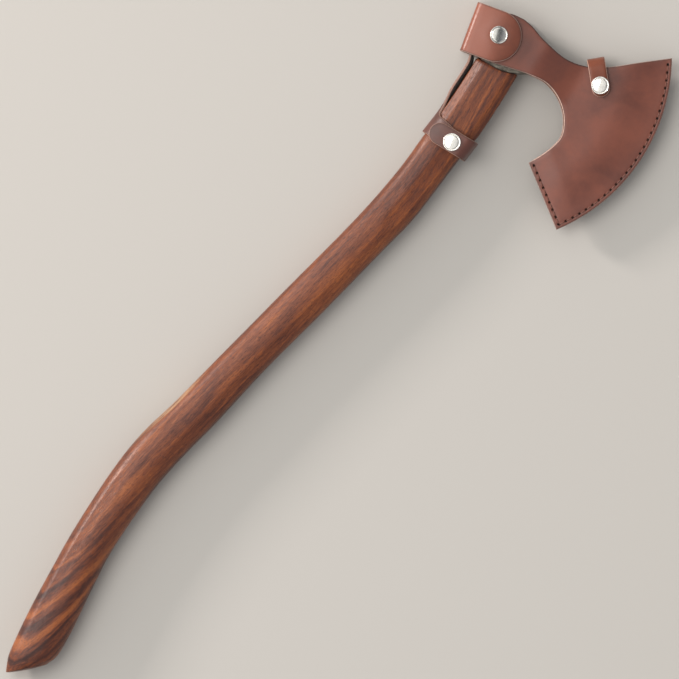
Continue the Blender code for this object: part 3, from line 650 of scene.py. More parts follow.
def forged_steel(name):
    """Forge-darkened cheeks with a ground, polished bevel along the edge."""
    look = new_look(name)
    scale = look.cloud(5.5, 5.0, 0.62, 0.5)
    dark = look.graded(scale, (0.32, (0.066, 0.058, 0.048)), (0.52, (0.135, 0.121, 0.100)),
                       (0.7, (0.27, 0.25, 0.215)))
    x, y = (look.put("SeparateXYZ", {0: look.spot()}, axis) for axis in range(2))
    start = EDGE_RADIUS - BEVEL_WIDTH
    ground = look.ranged(look.reach(x, y, ARC_CENTRE), start - 0.25, start + 0.25)
    lines = look.cloud(1.0, spot=look.put("CombineXYZ", {0: look.math("DIVIDE", y, 0.35),
                                                         1: look.math("DIVIDE", x, 26.0)}))
    bright = look.graded(lines, (0.3, (0.50, 0.50, 0.50)), (0.7, (0.68, 0.68, 0.67)))
    rough = look.ranged(ground, 0.0, 1.0, look.ranged(scale, 0.3, 0.7, 0.62, 0.42), 0.24)
    relief = look.math("MULTIPLY_ADD", look.cloud(1.3, 4.0, 0.7), 0.4, scale)
    still = look.math("SUBTRACT", 1.0, ground)
    relief = look.math("MULTIPLY_ADD", relief, still, look.math("MULTIPLY", lines, 0.08))
    return look.finish(look.mixed(ground, dark, bright), rough, relief, 0.55, 0.5, 0.85)


def plated(name, colour, rough, own=True):
    """Nickel plate with faint handling scratches."""
    look = new_look(name)
    scratches = look.cloud(0.45, 2.0, 0.6, 0.8, (1.0, 9.0, 1.0), own)
    shade = look.graded(look.cloud(2.8, own=own), (0.3, shaded(colour, 0.9)), (0.7, colour))
    gloss = look.ranged(scratches, 0.45, 0.75, rough, rough + 0.12)
    return look.finish(shade, gloss, scratches, 0.03, 0.02, 1.0)


# The cut edges' pale tone stands both for raw fibres and for a painted highlight on lit rims.
PANEL = [leather("panel_leather_face", (0.124, 0.039, 0.027), (0.195, 0.056, 0.033), 0.38),
         cut_edge("panel_leather_edge", (0.085, 0.030, 0.022), (0.66, 0.44, 0.36)),
         suede("panel_leather_flesh", (0.22, 0.12, 0.08), (0.40, 0.25, 0.17)),
         # Near-black walls for the needle, snap and rivet holes: painted shade inside the holes.
         cut_edge("hole_walls_painted_shade", (0.020, 0.009, 0.007), (0.020, 0.009, 0.007))]
# The wrap's face is lighter over the fold and the flap's part next to it: a painted sheen.
WRAP_HIDE = [leather("wrap_leather_face", (0.124, 0.037, 0.022), (0.200, 0.055, 0.029), 0.36,
                     (-88.0, -68.0, -60.0, -52.0)), *PANEL[1:]]
BELT = [leather("strap_leather_face", (0.140, 0.032, 0.012), (0.225, 0.051, 0.016), 0.34),
        cut_edge("strap_leather_edge", (0.085, 0.028, 0.018), (0.66, 0.40, 0.31)),
        suede("strap_leather_flesh", (0.20, 0.10, 0.065), (0.38, 0.22, 0.14)),
        PANEL[3]]
COLLAR = [leather("collar_leather_face", (0.075, 0.026, 0.019), (0.128, 0.041, 0.029), 0.42), BELT[1],
          # Near black-brown flesh side: painted shade on the stem strap's inner face, seen in the slit beside
          # the haft.
          suede("collar_flesh_painted_shade", (0.045, 0.016, 0.010), (0.10, 0.040, 0.026)), BELT[3]]
DARK_THREAD = waxed_thread("waxed_thread", (0.20, 0.070, 0.046))
NICKEL = plated("nickel_plate", (0.86, 0.84, 0.80), 0.13)
STEEL = plated("wedge_steel_plate", (0.42, 0.42, 0.41), 0.35, own=False)


# ---------------------------------------------------------------- axe

def arc_depth(x, y, radius):
    """How far a point lies inside the arc that the edge and the curved seam share."""
    return radius - math.hypot(x - ARC_CENTRE[0], y - ARC_CENTRE[1])


def seam_depth(x, y):
    """Distances from the curved seam and from the straight one."""
    run = Vector(BOTTOM) - Vector(HEEL)
    away = Vector((x, y)) - Vector(HEEL)
    along = min(max(away.dot(run) / run.length_squared, 0.0), 1.0)
    return arc_depth(x, y, SEAM_RADIUS), (away - run * along).length


def pocket_half(x, y, clear):
    """Half of the pocket's width: wide over the eye, narrow over the blade, pinched at the seams."""
    eye = EYE_HALF + clear
    body = eye + (POCKET_HALF - eye) * ramp((x - SHOULDER[0]) / (SHOULDER[1] - SHOULDER[0]))
    curved, straight = seam_depth(x, y)
    share = ramp(curved / PINCH_CURVED) * ramp(straight / PINCH_STRAIGHT)
    return WELT_HALF + (body - WELT_HALF) * share


def head_half(x, y):
    """Half of the head's thickness."""
    body = EYE_HALF + (BLADE_HALF - EYE_HALF) * ramp((x - CHEEK[0]) / (CHEEK[1] - CHEEK[0]))
    depth = arc_depth(x, y, EDGE_RADIUS)
    if depth < BEVEL_WIDTH:
        return EDGE_HALF + (BEVEL_HALF - EDGE_HALF) * max(depth, 0) / BEVEL_WIDTH
    blade = BEVEL_HALF + (body - BEVEL_HALF) * ramp((depth - BEVEL_WIDTH) / BLADE_RUN)
    return min(blade, pocket_half(x, y, 0.0) - BEARD_CLEAR) if x > BEARD_X else blade


def build_head():
    """The forged head: rounded lug and cheeks, the ground bevel, and the oval eye cut through it."""
    top = smooth_line([(104.4, 47.5), (86, 33), (68, 18.6), (54, 11.6), (38, 10.2), (24, 12.4), (8, 16.6),
                       (-10, 17.0)], 8)
    poll = smooth_line([(-10, 17.0), (-20, 15.6), (-28.6, 13.4), (-30.6, 11.0), (-28.9, 2.0), (-27.1, -7.6),
                        (-25.4, -10.6), (-22.0, -14.2), (-19, -17.2)], 3)
    eye = smooth_line([(-19, -17.2), (-12, -19.5), (4, -19.3), (16, -15.2), (25, -10.4), (36, -8), (45, -9.4),
                       (54, -13.8), (63, -21.5), (69.4, -32), (71, -42), (69.4, -53), (66.2, -64.1)], 5)
    outline = eye + arc(ARC_CENTRE, EDGE_RADIUS, -32.8, 28.8, 70) + top[1:-1] + poll[:-1]
    bevel = arc(ARC_CENTRE, EDGE_RADIUS - BEVEL_WIDTH, -30.6, 27.5, 64)

    def dents(x, y):
        depth = arc_depth(x, y, EDGE_RADIUS - BEVEL_WIDTH)
        return 0.22 * noise.noise(Vector((x, y, 3.0)) / 13.0) * ramp(depth / 12.0)

    metal = forged_steel("forged_steel")
    head = plate("axe_head_forged", outline, lambda x, y: Vector((x, y, 0.0)), head_half, None, [metal] * 4,
                 spots=bevel, grid=3.0, rounding=1.1, relief=dents)
    verts, faces = turned([(0, -40), (1, -40), (1, 40), (0, 40)], 72)
    verts = [(v.x * BORE[0], v.z, v.y * BORE[1]) for v in verts]
    carve(head, finish_mesh("eye_cutter", verts, faces, None, [metal]))
    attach(head, "axe")
    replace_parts(head, "axe_head")


def carve(target, cutter):
    """Cuts a closed shape out of a piece, and removes it."""
    step = target.modifiers.new("cut", "BOOLEAN")
    step.object = cutter
    step.operation = "DIFFERENCE"
    shaped = target.evaluated_get(bpy.context.evaluated_depsgraph_get())
    mesh = bpy.data.meshes.new_from_object(shaped)
    target.modifiers.clear()
    target.data = mesh
    bpy.data.objects.remove(cutter)


# How far a fibre of the haft's wood has moved in X, each millimetre down from the eye: straight under
# the head, then along the grip, and slanting across the butt
FIBRE = np.cumsum([0.0] + [-0.235 * ramp((down - 60.0) / 130.0) - 0.15 * ramp((down - 455.0) / 70.0)
                           for down in range(620)])

FACETS = [                      # flats on the haft: the side they face, their reach, from and to which Y
    ((-0.59, 0.807), 0.93, (0.0, -96.0)),
    ((0.59, 0.807), 0.95, (0.0, -90.0)),
    ((-0.59, -0.807), 0.93, (0.0, -96.0)),
    ((0.59, -0.807), 0.95, (0.0, -90.0)),
    ((0.17, 0.985), 0.945, (-88.0, -172.0)),
    ((-0.5, 0.866), 0.975, (-170.0, -300.0)),
    ((0.42, 0.907), 0.97, (-230.0, -400.0)),
    ((-0.34, 0.94), 0.975, (-430.0, -560.0)),
]


def haft_ring(row):
    """One ring of the haft: a rounded oval between its back and front edges, with its flats."""
    back, front, half = Vector(row[0:2]), Vector(row[2:4]), row[4]
    middle, reach = (back + front) / 2, (front - back) / 2
    square = 3.9 - 1.5 * ramp((-middle.y - 60.0) / 45.0)
    drop = HAFT_DROP * ramp((-100.0 - middle.y) / 350.0)
    points = []
    for k in range(HAFT_SIDES):
        angle = 2 * math.pi * k / HAFT_SIDES
        across = math.copysign(abs(math.cos(angle)) ** (2 / square), math.cos(angle)) * reach.length
        up = math.copysign(abs(math.sin(angle)) ** (2 / square), math.sin(angle)) * half
        spot = Vector((across, up))
        for normal, limit, (start, end) in FACETS:
            normal = Vector(normal)
            dual = square / (square - 1)
            support = ((reach.length * abs(normal.x)) ** dual + (half * abs(normal.y)) ** dual) ** (1 / dual)
            fade = ramp((start - middle.y + 14.0) / 20.0) * ramp((middle.y - end) / 20.0)
            allowed = support * (1 + (limit - 1) * fade)
            if spot.dot(normal) > allowed:
                spot *= allowed / spot.dot(normal)
        place = Vector((math.cos(angle) * 1.3, math.sin(angle) * 1.3, middle.y / 45.0))
        spot *= 1 + 0.010 * noise.noise(place)
        on_plan = middle + reach.normalized() * spot.x
        points.append(Vector((on_plan.x, on_plan.y, spot.y - drop)))
    return points


def build_haft():
    """The haft: tenon, shoulder fitted to the lug, S-shaped grip and oblique butt, as one mesh."""
    rows = [Vector((*back, *front, half)) for back, front, half in HAFT]
    line = smooth_line(rows, 9)
    end = Vector((*BUTT_END[0], *BUTT_END[1], BUTT_END[2]))
    line += [line[-1].lerp(end, share) for share in (0.35, 0.7, 1.0)]
    fitted = [row for row in line if row[1] > -32.0]
    rings = []
    for k in range(12):
        share = (k / 11) ** 1.3
        ring = []
        for point in haft_ring(fitted[-1]):
            lug = between(LUG, point.x)
            tuck = 0.5 * (1 - ramp(k / 3))
            inner = Vector((point.x, 0, point.z)) * (1 - tuck / max(math.hypot(point.x, point.z), 1.0))
            ring.append(Vector((inner.x, lug + (point.y - lug) * share, inner.z)))
        rings.append(ring)
    rings += [haft_ring(row) for row in line[len(fitted):]]
    ends = rings[-1]
    middle = sum(ends, Vector((0, 0, 0))) / len(ends)
    out = Vector((0.68, -0.74, 0.0)).normalized()
    for share, bulge in ((0.96, 0.4), (0.85, 0.8), (0.62, 1.2), (0.32, 1.5), (0.08, 1.6)):
        rings.append([middle + (p - middle) * share + out * bulge for p in ends])
    tenon = []
    for level, size in ((TENON_TOP, 0.08), (TENON_TOP, 0.5), (TENON_TOP, 0.9), (TENON_TOP - 0.15, 0.975),
                        (TENON_TOP - 0.6, 1.0), (0.0, 1.0), (-14.0, 1.0), (None, 1.0)):
        ring = []
        for k in range(HAFT_SIDES):
            angle = 2 * math.pi * k / HAFT_SIDES
            x, z = TENON[0] * size * math.cos(angle), TENON[1] * size * math.sin(angle)
            ring.append(Vector((x, between(LUG, x) if level is None else level, z)))
        tenon.append(ring)
    rings = tenon + rings
    verts = [p for ring in rings for p in ring]
    hoops = [range(k, k + HAFT_SIDES) for k in range(0, len(verts), HAFT_SIDES)]
    faces = [list(hoops[0]), list(hoops[-1])]
    for one, two in zip(hoops, hoops[1:]):
        faces += girdle(one, two)
    marks = [(p.x - np.interp(-p.y, range(len(FIBRE)), FIBRE), p.y, p.z) for p in verts]
    sapwood = []
    for ring in rings:
        back = min(p.x for p in ring)
        level = ring[HAFT_SIDES // 2].y
        band = ramp((-318.0 - level) / 45.0) * ramp((level + 408.0) / 42.0)
        sapwood += [band * (1 - ramp((p.x - back - 1.1 - 0.9 * band) / 1.2)) for p in ring]
    haft = finish_mesh("haft_carved", verts, faces, "axe", [rosewood("rosewood")], pattern=marks,
                       edge=sapwood, sharp=50.0)
    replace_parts(haft, "haft")


# ---------------------------------------------------------------- sheath

def wrap_point(u, v, z=0.0):
    """A point given in the poll wrap's turned axes."""
    return Vector((u * math.cos(WRAP_TILT) - v * math.sin(WRAP_TILT),
                   u * math.sin(WRAP_TILT) + v * math.cos(WRAP_TILT), z))


def panel_middle(side, clear):
    """The middle of a panel's leather; side is +1 in front and -1 behind."""
    def place(x, y):
        curved, straight = seam_depth(x, y)
        slack = 0.5 * noise.noise(Vector((x, y, 9.0 * side)) / 38.0) + 0.1
        slack *= ramp(curved / 30.0) * ramp(straight / 25.0) * ramp((x - 12.0) / 30.0)
        return Vector((x, y, side * (pocket_half(x, y, clear) + slack + LEATHER / 2)))
    return place


def seam_corner(inset):
    """Where the two seams meet, moved in by the same amount from both."""
    run = (Vector(BOTTOM) - Vector(HEEL)).normalized()
    spot = Vector(HEEL) + Vector((-run.y, run.x)) * inset
    towards = spot - Vector(ARC_CENTRE)
    along = towards.dot(run)
    reach = -along + math.sqrt(along ** 2 - towards.length_squared + (SEAM_RADIUS - inset) ** 2)
    return spot, spot + run * reach


def seam_line(inset, steps):
    """The curved seam's line at an inset, from the toe to the corner, and the straight one's end."""
    heel, corner = seam_corner(inset)
    angle = math.degrees(math.atan2(corner.y - ARC_CENTRE[1], corner.x - ARC_CENTRE[0]))
    return arc(ARC_CENTRE, SEAM_RADIUS - inset, SEAM_ANGLES[1] - 0.6, angle, steps), heel


def stitch_holes():
    """Where the needle holes are, along the curved seam and then the straight one."""
    curved, heel = seam_line(STITCH_INSET, 60)
    corner = curved[-1]
    count = round(Track(curved).length / STITCH_PITCH)
    first, last = (math.atan2(p.y - ARC_CENTRE[1], p.x - ARC_CENTRE[0]) for p in (curved[0], corner))
    radius = SEAM_RADIUS - STITCH_INSET
    first -= STITCH_PITCH * 0.6 / radius
    run = heel - corner
    length = run.length - 3.5
    straight = round(length / STITCH_PITCH)
    return arc(ARC_CENTRE, radius, math.degrees(first), math.degrees(last), count) + [
        corner + run.normalized() * length * k / straight for k in range(1, straight + 1)]


HOLES = stitch_holes()


def needle_loops():
    """The outline of each needle hole, turned along the seam."""
    loops = []
    for before, hole, after in zip(HOLES[:1] + HOLES, HOLES, HOLES[1:] + HOLES[-1:]):
        run = (after - before).normalized() * NEEDLE[0]
        side = Vector((-run.y, run.x)).normalized() * NEEDLE[1]
        loops.append([hole + run * p.x + side * p.y for p in arc((0, 0), 1.0, 0, 324, 9)])
    return loops


def round_hole(centre, radius):
    return arc(centre, radius, 0, 345, 23)


def stitch_groove(x, y):
    """The panel's face sinks a little along the stitches."""
    curved, straight = seam_depth(x, y)
    return -0.15 * (1 - ramp(abs(min(curved, straight) - STITCH_INSET) / 1.3))


def panel_outline(left, trim):
    """A panel's edge, from its left end round the beard, the seams and the top edge."""
    low = smooth_line([(-3, -17.4), (10, -14.2), (24, -11.1), (37.5, -10.3), (50, -14.6), (60, -22.6),
                       (66.4, -33), (67.9, -42), (64.4, -54), HEEL], 6)
    low = [p + Vector((0.6, 0.45)) * trim * ramp((p.x - 20.0) / 20.0) * ramp((p.y + 66.0) / 8.0) for p in low]
    seam = arc(ARC_CENTRE, SEAM_RADIUS, *SEAM_ANGLES, 84)
    high = smooth_line([TOE, (90, 39.2), (72, 24.4), (56.5, 16), (40, 13.2), (20, 16.8), (8, 20.8),
                        (0, 22.3)], 7)
    return [Vector(p[:2]) for p in left] + low + seam + high[1:]


def edge_raw_lit_and_shaded(x, y):
    """How pale the panels' cut edges are: pale round the beard, a painted highlight where the edge
    catches the light; dark along the neck's top, a painted shadow line; else between, the partly
    dyed tone of the edge.
    """
    # painted highlight: the cut edge round the beard is set pale as if lit
    beard = ramp((x - 16.0) / 12.0) * ramp((-y - 2.0) / 5.0) * ramp(seam_depth(x, y)[1] / 6.0)
    beard *= ramp(seam_depth(x, y)[0] / 30.0)
    # painted shadow: the cut edge along the neck's top is set dark
    neck = ramp((74.0 - x) / 14.0) * ramp(y / 8.0)
    return 0.42 + 0.55 * beard - 0.42 * neck


def build_panels():
    """Both panels, with a hole for each stitch, and the welt between them."""
    middles = [(a + b) / 2 for a, b in zip(HOLES, HOLES[1:])]
    lines = [p for inset in (STITCH_INSET - 1.5, STITCH_INSET + 1.5) for p in seam_line(inset, 80)[0]]
    left = smooth_line([(0, 22.3), (-8, 21.6), (-16, 19.4), (-24, 17.8)], 3)[1:]
    left += [Vector((-27.6, 16.8)), Vector((-22.2, -18.6))]
    left += smooth_line([(-18, -18.7), (-10, -18.2), (-3, -17.4)], 3)[:-1]
    back_left = [wrap_point(-14, WRAP_V[1]), wrap_point(WRAP_JOIN, WRAP_V[1]),
                 wrap_point(WRAP_JOIN, WRAP_V[0]), wrap_point(-12, WRAP_V[0])]
    snap_holes = [round_hole(snap, SNAP_HOLE) for snap in (POLL_SNAP, TOP_SNAP)]
    rivet_hole = round_hole(top_point(TOP_RIVET, 0), RIVET_HOLE)
    sides = (("front_panel", 1, CLEAR_FRONT, panel_outline(left, 1.0), snap_holes),
             ("back_panel", -1, CLEAR_BACK, panel_outline(back_left, 0.0), [rivet_hole]))
    for node, side, clear, outline, holes in sides:
        panel = plate(f"{node}_leather", outline, panel_middle(side, clear), lambda x, y: LEATHER / 2,
                      "sheath", PANEL, needle_loops() + holes, middles + lines, flip=side,
                      relief=stitch_groove, raw_and_lit=edge_raw_lit_and_shaded)
        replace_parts(panel, node)
    outer_line, outer_heel = seam_line(GAP, 70)
    inner_line, inner_heel = seam_line(WELT_WIDTH, 70)
    run = (Vector(BOTTOM) - Vector(HEEL)).normalized()
    outline = outer_line + [outer_heel + run * 0.6, inner_heel + run * 4.0] + inner_line[::-1]
    welt = plate("edge_welt_leather", outline, lambda x, y: Vector((x, y, 0.0)), lambda x, y: WELT_THICK_HALF,
                 "sheath", [BELT[1]] * 4, rounding=0.4, grid=4.0)
    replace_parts(welt, "edge_welt")


# One stitch: shares of the way to the next hole, and the thread's height over the leather's face
STITCH = [(0.0, -2.0), (0.14, -1.0), (0.21, -0.2), (0.32, 0.06), (0.5, 0.12), (0.68, 0.06), (0.79, -0.2),
          (0.86, -1.0)]


def thread_piece(name, spots, place, flip, half, closed, node):
    """Thread sewn through the needle holes: it arches over the leather and dips into each hole."""
    path, sides = [], []
    pairs = list(zip(spots, spots[1:] + spots[:1]))
    for one, two in pairs if closed else pairs[:-1]:
        run = (two - one).normalized()
        across = Vector((-run.y, run.x)) * STEP
        for share, rise in STITCH:
            spot = one.lerp(two, share)
            path.append(lifted(place, flip, *spot, half + rise))
            sides.append((place(*(spot + across)) - place(*(spot - across))).normalized())
    if not closed:
        path.append(lifted(place, flip, *spots[-1], half + STITCH[0][1]))
        sides.append(sides[-1])
    verts, faces = tube(path, sides, THREAD / 2, closed)
    made = finish_mesh(name, verts, faces, "sheath", [DARK_THREAD], sharp=60.0)
    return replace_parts(made, node)


def wrap_track():
    """The wrap's bent line in (u, z): under the eye, up behind the poll, and forward as the flap."""
    low = -(EYE_HALF + CLEAR_BACK) - LEATHER / 2 + WRAP_BEND
    high = EYE_BASE + LIFT + LEATHER / 2 - WRAP_BEND
    centre = WRAP_WALL + WRAP_BEND
    line = [Vector((WRAP_JOIN, low - WRAP_BEND))] + arc((centre, low), WRAP_BEND, 270, 180, 16)
    line += arc((centre, high - WRAP_DROP), WRAP_BEND, 180, 100, 14)
    crown = [(centre + 0.8, WRAP_DROP - 0.05), (-24.0, 1.6), (-19.0, 0.8), (-14.5, 0.2), (-10.6, 0.0),
             (-5.0, 0.25), (1.0, 0.95), (8.5, 2.3)]
    return Track(line + smooth_line([(u, high + WRAP_BEND - drop) for u, drop in crown], 8)[1:])


WRAP = wrap_track()


def wrap_place(s, v):
    flat = WRAP.at(s)
    droop = 0.5 * ramp((s - 40.0) / 15.0) * ((v - 3.0) / 19.0) ** 2
    return wrap_point(flat.x, v, flat.y - droop)


def build_wrap():
    """The leather behind the poll and its flap, bent from one strip."""
    snap_u, snap_v = Matrix.Rotation(-WRAP_TILT, 2) @ Vector(POLL_SNAP)
    tip_s, snap_s = (WRAP.nearest((u, EYE_BASE + LIFT + LEATHER / 2)) for u in (WRAP_TIP[0], snap_u))
    tip = arc((tip_s, WRAP_TIP[1]), WRAP_TIP_RADIUS, -86, 86, 40)
    outline = [Vector((0.0, WRAP_V[1])), Vector((0.0, WRAP_V[0]))] + tip

    def hide(s, v):
        return tuple(wrap_point(WRAP_JOIN - s, v)[:2])

    def dimple(s, v):
        return -0.22 * (1 - ramp((math.hypot(s - snap_s, v - snap_v) - CAP_RADIUS) / 2.0))

    snap = (snap_s, snap_v)
    spots = [point for radius in (4.5, 6.4, 7.6, 9.0) for point in round_hole(snap, radius)]
    # The flap's cut edge is set pale all round: a painted highlight of a lit rim.
    made = plate("poll_wrap_leather", outline, wrap_place, lambda s, v: LEATHER / 2, None, WRAP_HIDE,
                 [round_hole(snap, SNAP_HOLE)], spots, butt=0.0, pattern=hide, relief=dimple,
                 raw_and_lit=lambda s, v: 0.7)
    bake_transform(made)
    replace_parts(made, "poll_wrap", "poll_flap")
    wall = WRAP.nearest((WRAP_WALL, 0.0))
    corners = [Vector((wall + s, v)) for s, v in ((-4.9, -5.4), (4.9, -5.4), (4.9, 11.4), (-4.9, 11.4))]
    box = dense(corners, 4.2)
    thread_piece("strap_thread", box, wrap_place, 1, LEATHER / 2 - 0.35, True, "strap_stitching")


def top_point(t, w, z=0.0):
    """A point given in the top strap's axes."""
    spot = Vector(TOP_SNAP) + TOP_DIR * t + Vector((-TOP_DIR.y, TOP_DIR.x)) * w
    return Vector((spot.x, spot.y, z))


def build_top_strap():
    """The short strap riveted behind and snapped down in front, folded over the top edge."""
    front = POCKET_HALF + LEATHER + LIFT + STRAP / 2
    back = TOP_BACK_FACE - STRAP / 2
    middle, half, reach = (front + back) / 2, (front - back) / 2, TOP_REACH - STRAP / 2
    fold = [(TOP_FOLD + reach * math.cos(a), middle - half * math.sin(a))
            for a in (math.radians(90 + 180 * k / 24) for k in range(25))]
    line = [(TOP_BACK_END, back), (TOP_RIVET, back)] + fold
    line += smooth_line([(TOP_FOLD, front), (-9.0, front + 0.15), (0.0, front), (5.0, front - 0.3),
                         (TOP_TIP + TOP_HALF + 1.0, front - 1.3)], 6)[1:]
    track = Track(line)
    snap_s = track.nearest((0.0, front))
    rivet_s = track.nearest((TOP_RIVET, back))

    def place(s, w):
        flat = track.at(s)
        return top_point(flat.x, w, flat.y)

    tip = arc((snap_s + TOP_TIP, 0.0), TOP_HALF, -90, 90, 26)
    outline = arc((TOP_CORNER, TOP_HALF - TOP_CORNER), TOP_CORNER, 90, 180, 6)
    outline += arc((TOP_CORNER, TOP_CORNER - TOP_HALF), TOP_CORNER, 180, 270, 6) + tip
    # The strap's cut edge is set pale: a painted highlight on its lit rim.
    made = plate("top_strap_leather", outline, place, lambda s, w: STRAP / 2, None, BELT,
                 [round_hole((snap_s, 0.0), SNAP_HOLE), round_hole((rivet_s, 0.0), RIVET_HOLE)], grid=1.9,
                 pattern=lambda s, w: (s + 300.0, w), raw_and_lit=lambda s, w: 0.8)
    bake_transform(made)
    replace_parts(made, "top_strap", "top_flap")


# The collar's bent line in (x, z), from the short arm round the haft's back to the tongue
BACK, SPLIT = (-20.9, 0.0), (-3.0, -13.5)
BAND = Track(smooth_line([(7.0, COLLAR_ARM), (0.4, COLLAR_ARM), (-8.0, 14.3), (-14.8, 12.0), (-19.5, 6.8),
                          BACK, (-19.5, -7.0), (-13.6, -12.1), SPLIT, (7.2, -12.7), (13.4, -8.6),
                          (15.8, -2.0), (16.2, 5.0), (15.2, 11.5), (13.6, 16.6), (10.8, 19.3), (6.5, 19.6),
                          (0.4, COLLAR_TONGUE), (-6.0, 18.8), (-12.0, 18.2), (-18.5, 16.9)], 8))
BAND_BACK = BAND.nearest(BACK)      # length where the stem leaves the collar
BAND_SPLIT = BAND.nearest(SPLIT)    # under the haft, where the tongue's leather starts


def band_place(s, q):
    """A point of the collar: s runs round the haft, q up it."""
    flat = BAND.at(s)
    shift = 3.0 * ramp(-flat.x / 18.0) if s < BAND_SPLIT + 12.0 else 0.0
    lean = COLLAR_LEAN * (1.0 if s < BAND_SPLIT + 12.0 else ramp((flat.x + 8.0) / 16.0))
    return Vector((flat.x + lean * q, COLLAR_Y + q + shift, flat.y))


def collar_hide(s, q):
    """Where the strap's and the tongue's leather lies on its hide, away from the other pieces."""
    return s + 150.0, q + 200.0


def build_handle_strap():
    """The strap down the back of the haft and, as one leather, the collar it ends in."""
    tucked = [wrap_point(WRAP_WALL + 2.35, v)[:2] for v in (-7.0, 13.0)]
    stem = Track(smooth_line([(-20.9, COLLAR_Y + 3.0), (-20.8, -76.0), (-19.9, -62.0), (-18.9, -45.0),
                              (-18.4, -30.0), (-18.9, -24.5), (-21.0, -19.8), (-25.0, -15.6), *tucked], 8))

    def place(s, q):
        ring = band_place(s, q)
        if q < 6.0:
            return ring
        run = stem.at(q)
        up = BAND_BACK - s
        lean = STRAP_LEAN * (1 - ramp((q - 57.0) / 9.0))
        return ring.lerp(Vector((run.x - lean * up, run.y, up)), ramp((q - 6.0) / 28.0))

    low, high, fillet = BAND_BACK - STRAP_HALF, BAND_BACK + STRAP_HALF, 4.0
    outline = arc((3.0, 3.0 - COLLAR_HALF), 3.0, 180, 270, 6)
    outline += [Vector((BAND_SPLIT, -COLLAR_HALF)), Vector((BAND_SPLIT, COLLAR_HALF))]
    outline += arc((high + fillet, COLLAR_HALF + fillet), fillet, 270, 180, 6)
    outline += [Vector((high, stem.length - 2.0)), Vector((high - 2.0, stem.length)),
                Vector((low + 2.0, stem.length)), Vector((low, stem.length - 2.0))]
    outline += arc((low - fillet, COLLAR_HALF + fillet), fillet, 0, -90, 6)
    outline += arc((3.0, COLLAR_HALF - 3.0), 3.0, 90, 180, 6)
    snap_s = BAND.nearest((COLLAR_SNAP[0], COLLAR_ARM))
    opening = round_hole((snap_s, COLLAR_SNAP[1] - COLLAR_Y), SNAP_HOLE)
    made = plate("handle_strap_leather", outline, place, lambda s, q: STRAP / 2, "sheath", COLLAR, [opening],
                 butt=BAND_SPLIT, pattern=collar_hide, flip=-1)
    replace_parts(made, "handle_strap")


def build_tongue():
    """The collar's tongue, from under the haft round its front edge and over the short arm."""
    snap_s = BAND.nearest((COLLAR_SNAP[0], COLLAR_TONGUE))
    tip_s = BAND.nearest((COLLAR_TIP, 18.6))
    outline = arc((tip_s, 0.0), COLLAR_HALF, -90, 90, 28)
    outline += [Vector((BAND_SPLIT, COLLAR_HALF)), Vector((BAND_SPLIT, -COLLAR_HALF))]
    opening = round_hole((snap_s, COLLAR_SNAP[1] - COLLAR_Y), SNAP_HOLE)
    made = plate("collar_tongue_leather", outline, band_place, lambda s, q: STRAP / 2, None, COLLAR,
                 [opening], butt=BAND_SPLIT, pattern=collar_hide, grid=2.2, flip=-1)
    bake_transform(made)
    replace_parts(made, "collar_tongue")


# ---------------------------------------------------------------- snaps and rivet

def raised(level, *profile):
    """A profile of (radius, z), lifted to a level."""
    return [(radius, z + level) for radius, z in profile]


def cap_profile(rim):
    """A snap's cap: a rolled rim, a fine groove inside it, and a low dome."""
    roll, dome, rise = 0.5, CAP_RADIUS - 1.5, 0.38
    ring = CAP_RADIUS - roll
    profile = [(0, rim - 3.0), (1.8, rim - 3.0), (1.8, rim), (ring - 0.2, rim)]
    profile += [(ring + roll * math.cos(a), rim + roll + roll * math.sin(a))
                for a in (math.radians(-75 + 15 * k) for k in range(16))]
    profile += [(dome + 0.35, rim + 0.62), (dome + 0.12, rim + 0.78)]
    profile += [(dome * (1 - k / 10), rim + 0.95 + rise * (1 - (1 - k / 10) ** 2)) for k in range(10)]
    return profile + [(0, rim + 0.95 + rise)]


def metal_piece(node, profile, place, body, lean=0.0, pivot=0.0):
    """A turned piece at a place in plan, tipped sideways by lean about its pivot's height."""
    tip, foot = Matrix.Rotation(lean, 3, PICTURE_UP), Vector((0, 0, pivot))
    verts, faces = turned(profile)
    verts = [tip @ (v - foot) + foot + Vector((*place[:2], 0)) for v in verts]
    made = finish_mesh(f"{node}_metal", verts, faces, body, [NICKEL], sharp=50.0)
    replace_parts(made, node)


def build_snap(name, place, base, strap, flap, leather_below, lean):
    """One press snap: stud and eyelet below, socket and cap on the flap; lean tips the cap."""
    foot = base + GAP
    under = base - leather_below - GAP
    roof = base + LIFT - GAP
    rim = base + LIFT + strap + GAP - 0.15
    shapes = {
        "stud": ("sheath", raised(foot, (1.7, 0), (4.9, 0), (5.0, 0.2), (4.8, 0.5), (3.2, 0.6), (2.6, 0.8),
                                  (2.35, 1.1), (2.6, 1.35), (2.55, 1.6), (2.2, 1.7), (1.7, 1.7))),
        "eyelet": ("sheath", raised(under, (0, -0.6), (4.2, -0.6), (4.6, -0.4), (4.6, 0), (1.8, 0))
                   + raised(foot, (1.8, -GAP), (1.4, -GAP), (1.4, 1.3), (0, 1.3))),
        "socket": (flap, raised(roof, (2.9, -1.0), (3.4, -1.2), (5.2, -1.2), (5.5, -1.05), (5.6, -0.8),
                                (5.6, 0), (2.9, 0))),
        "cap": (flap, cap_profile(rim)),
    }
    for part, (body, profile) in shapes.items():
        metal_piece(f"{name}_{part}", profile, place, body, lean if part == "cap" else 0.0, rim)


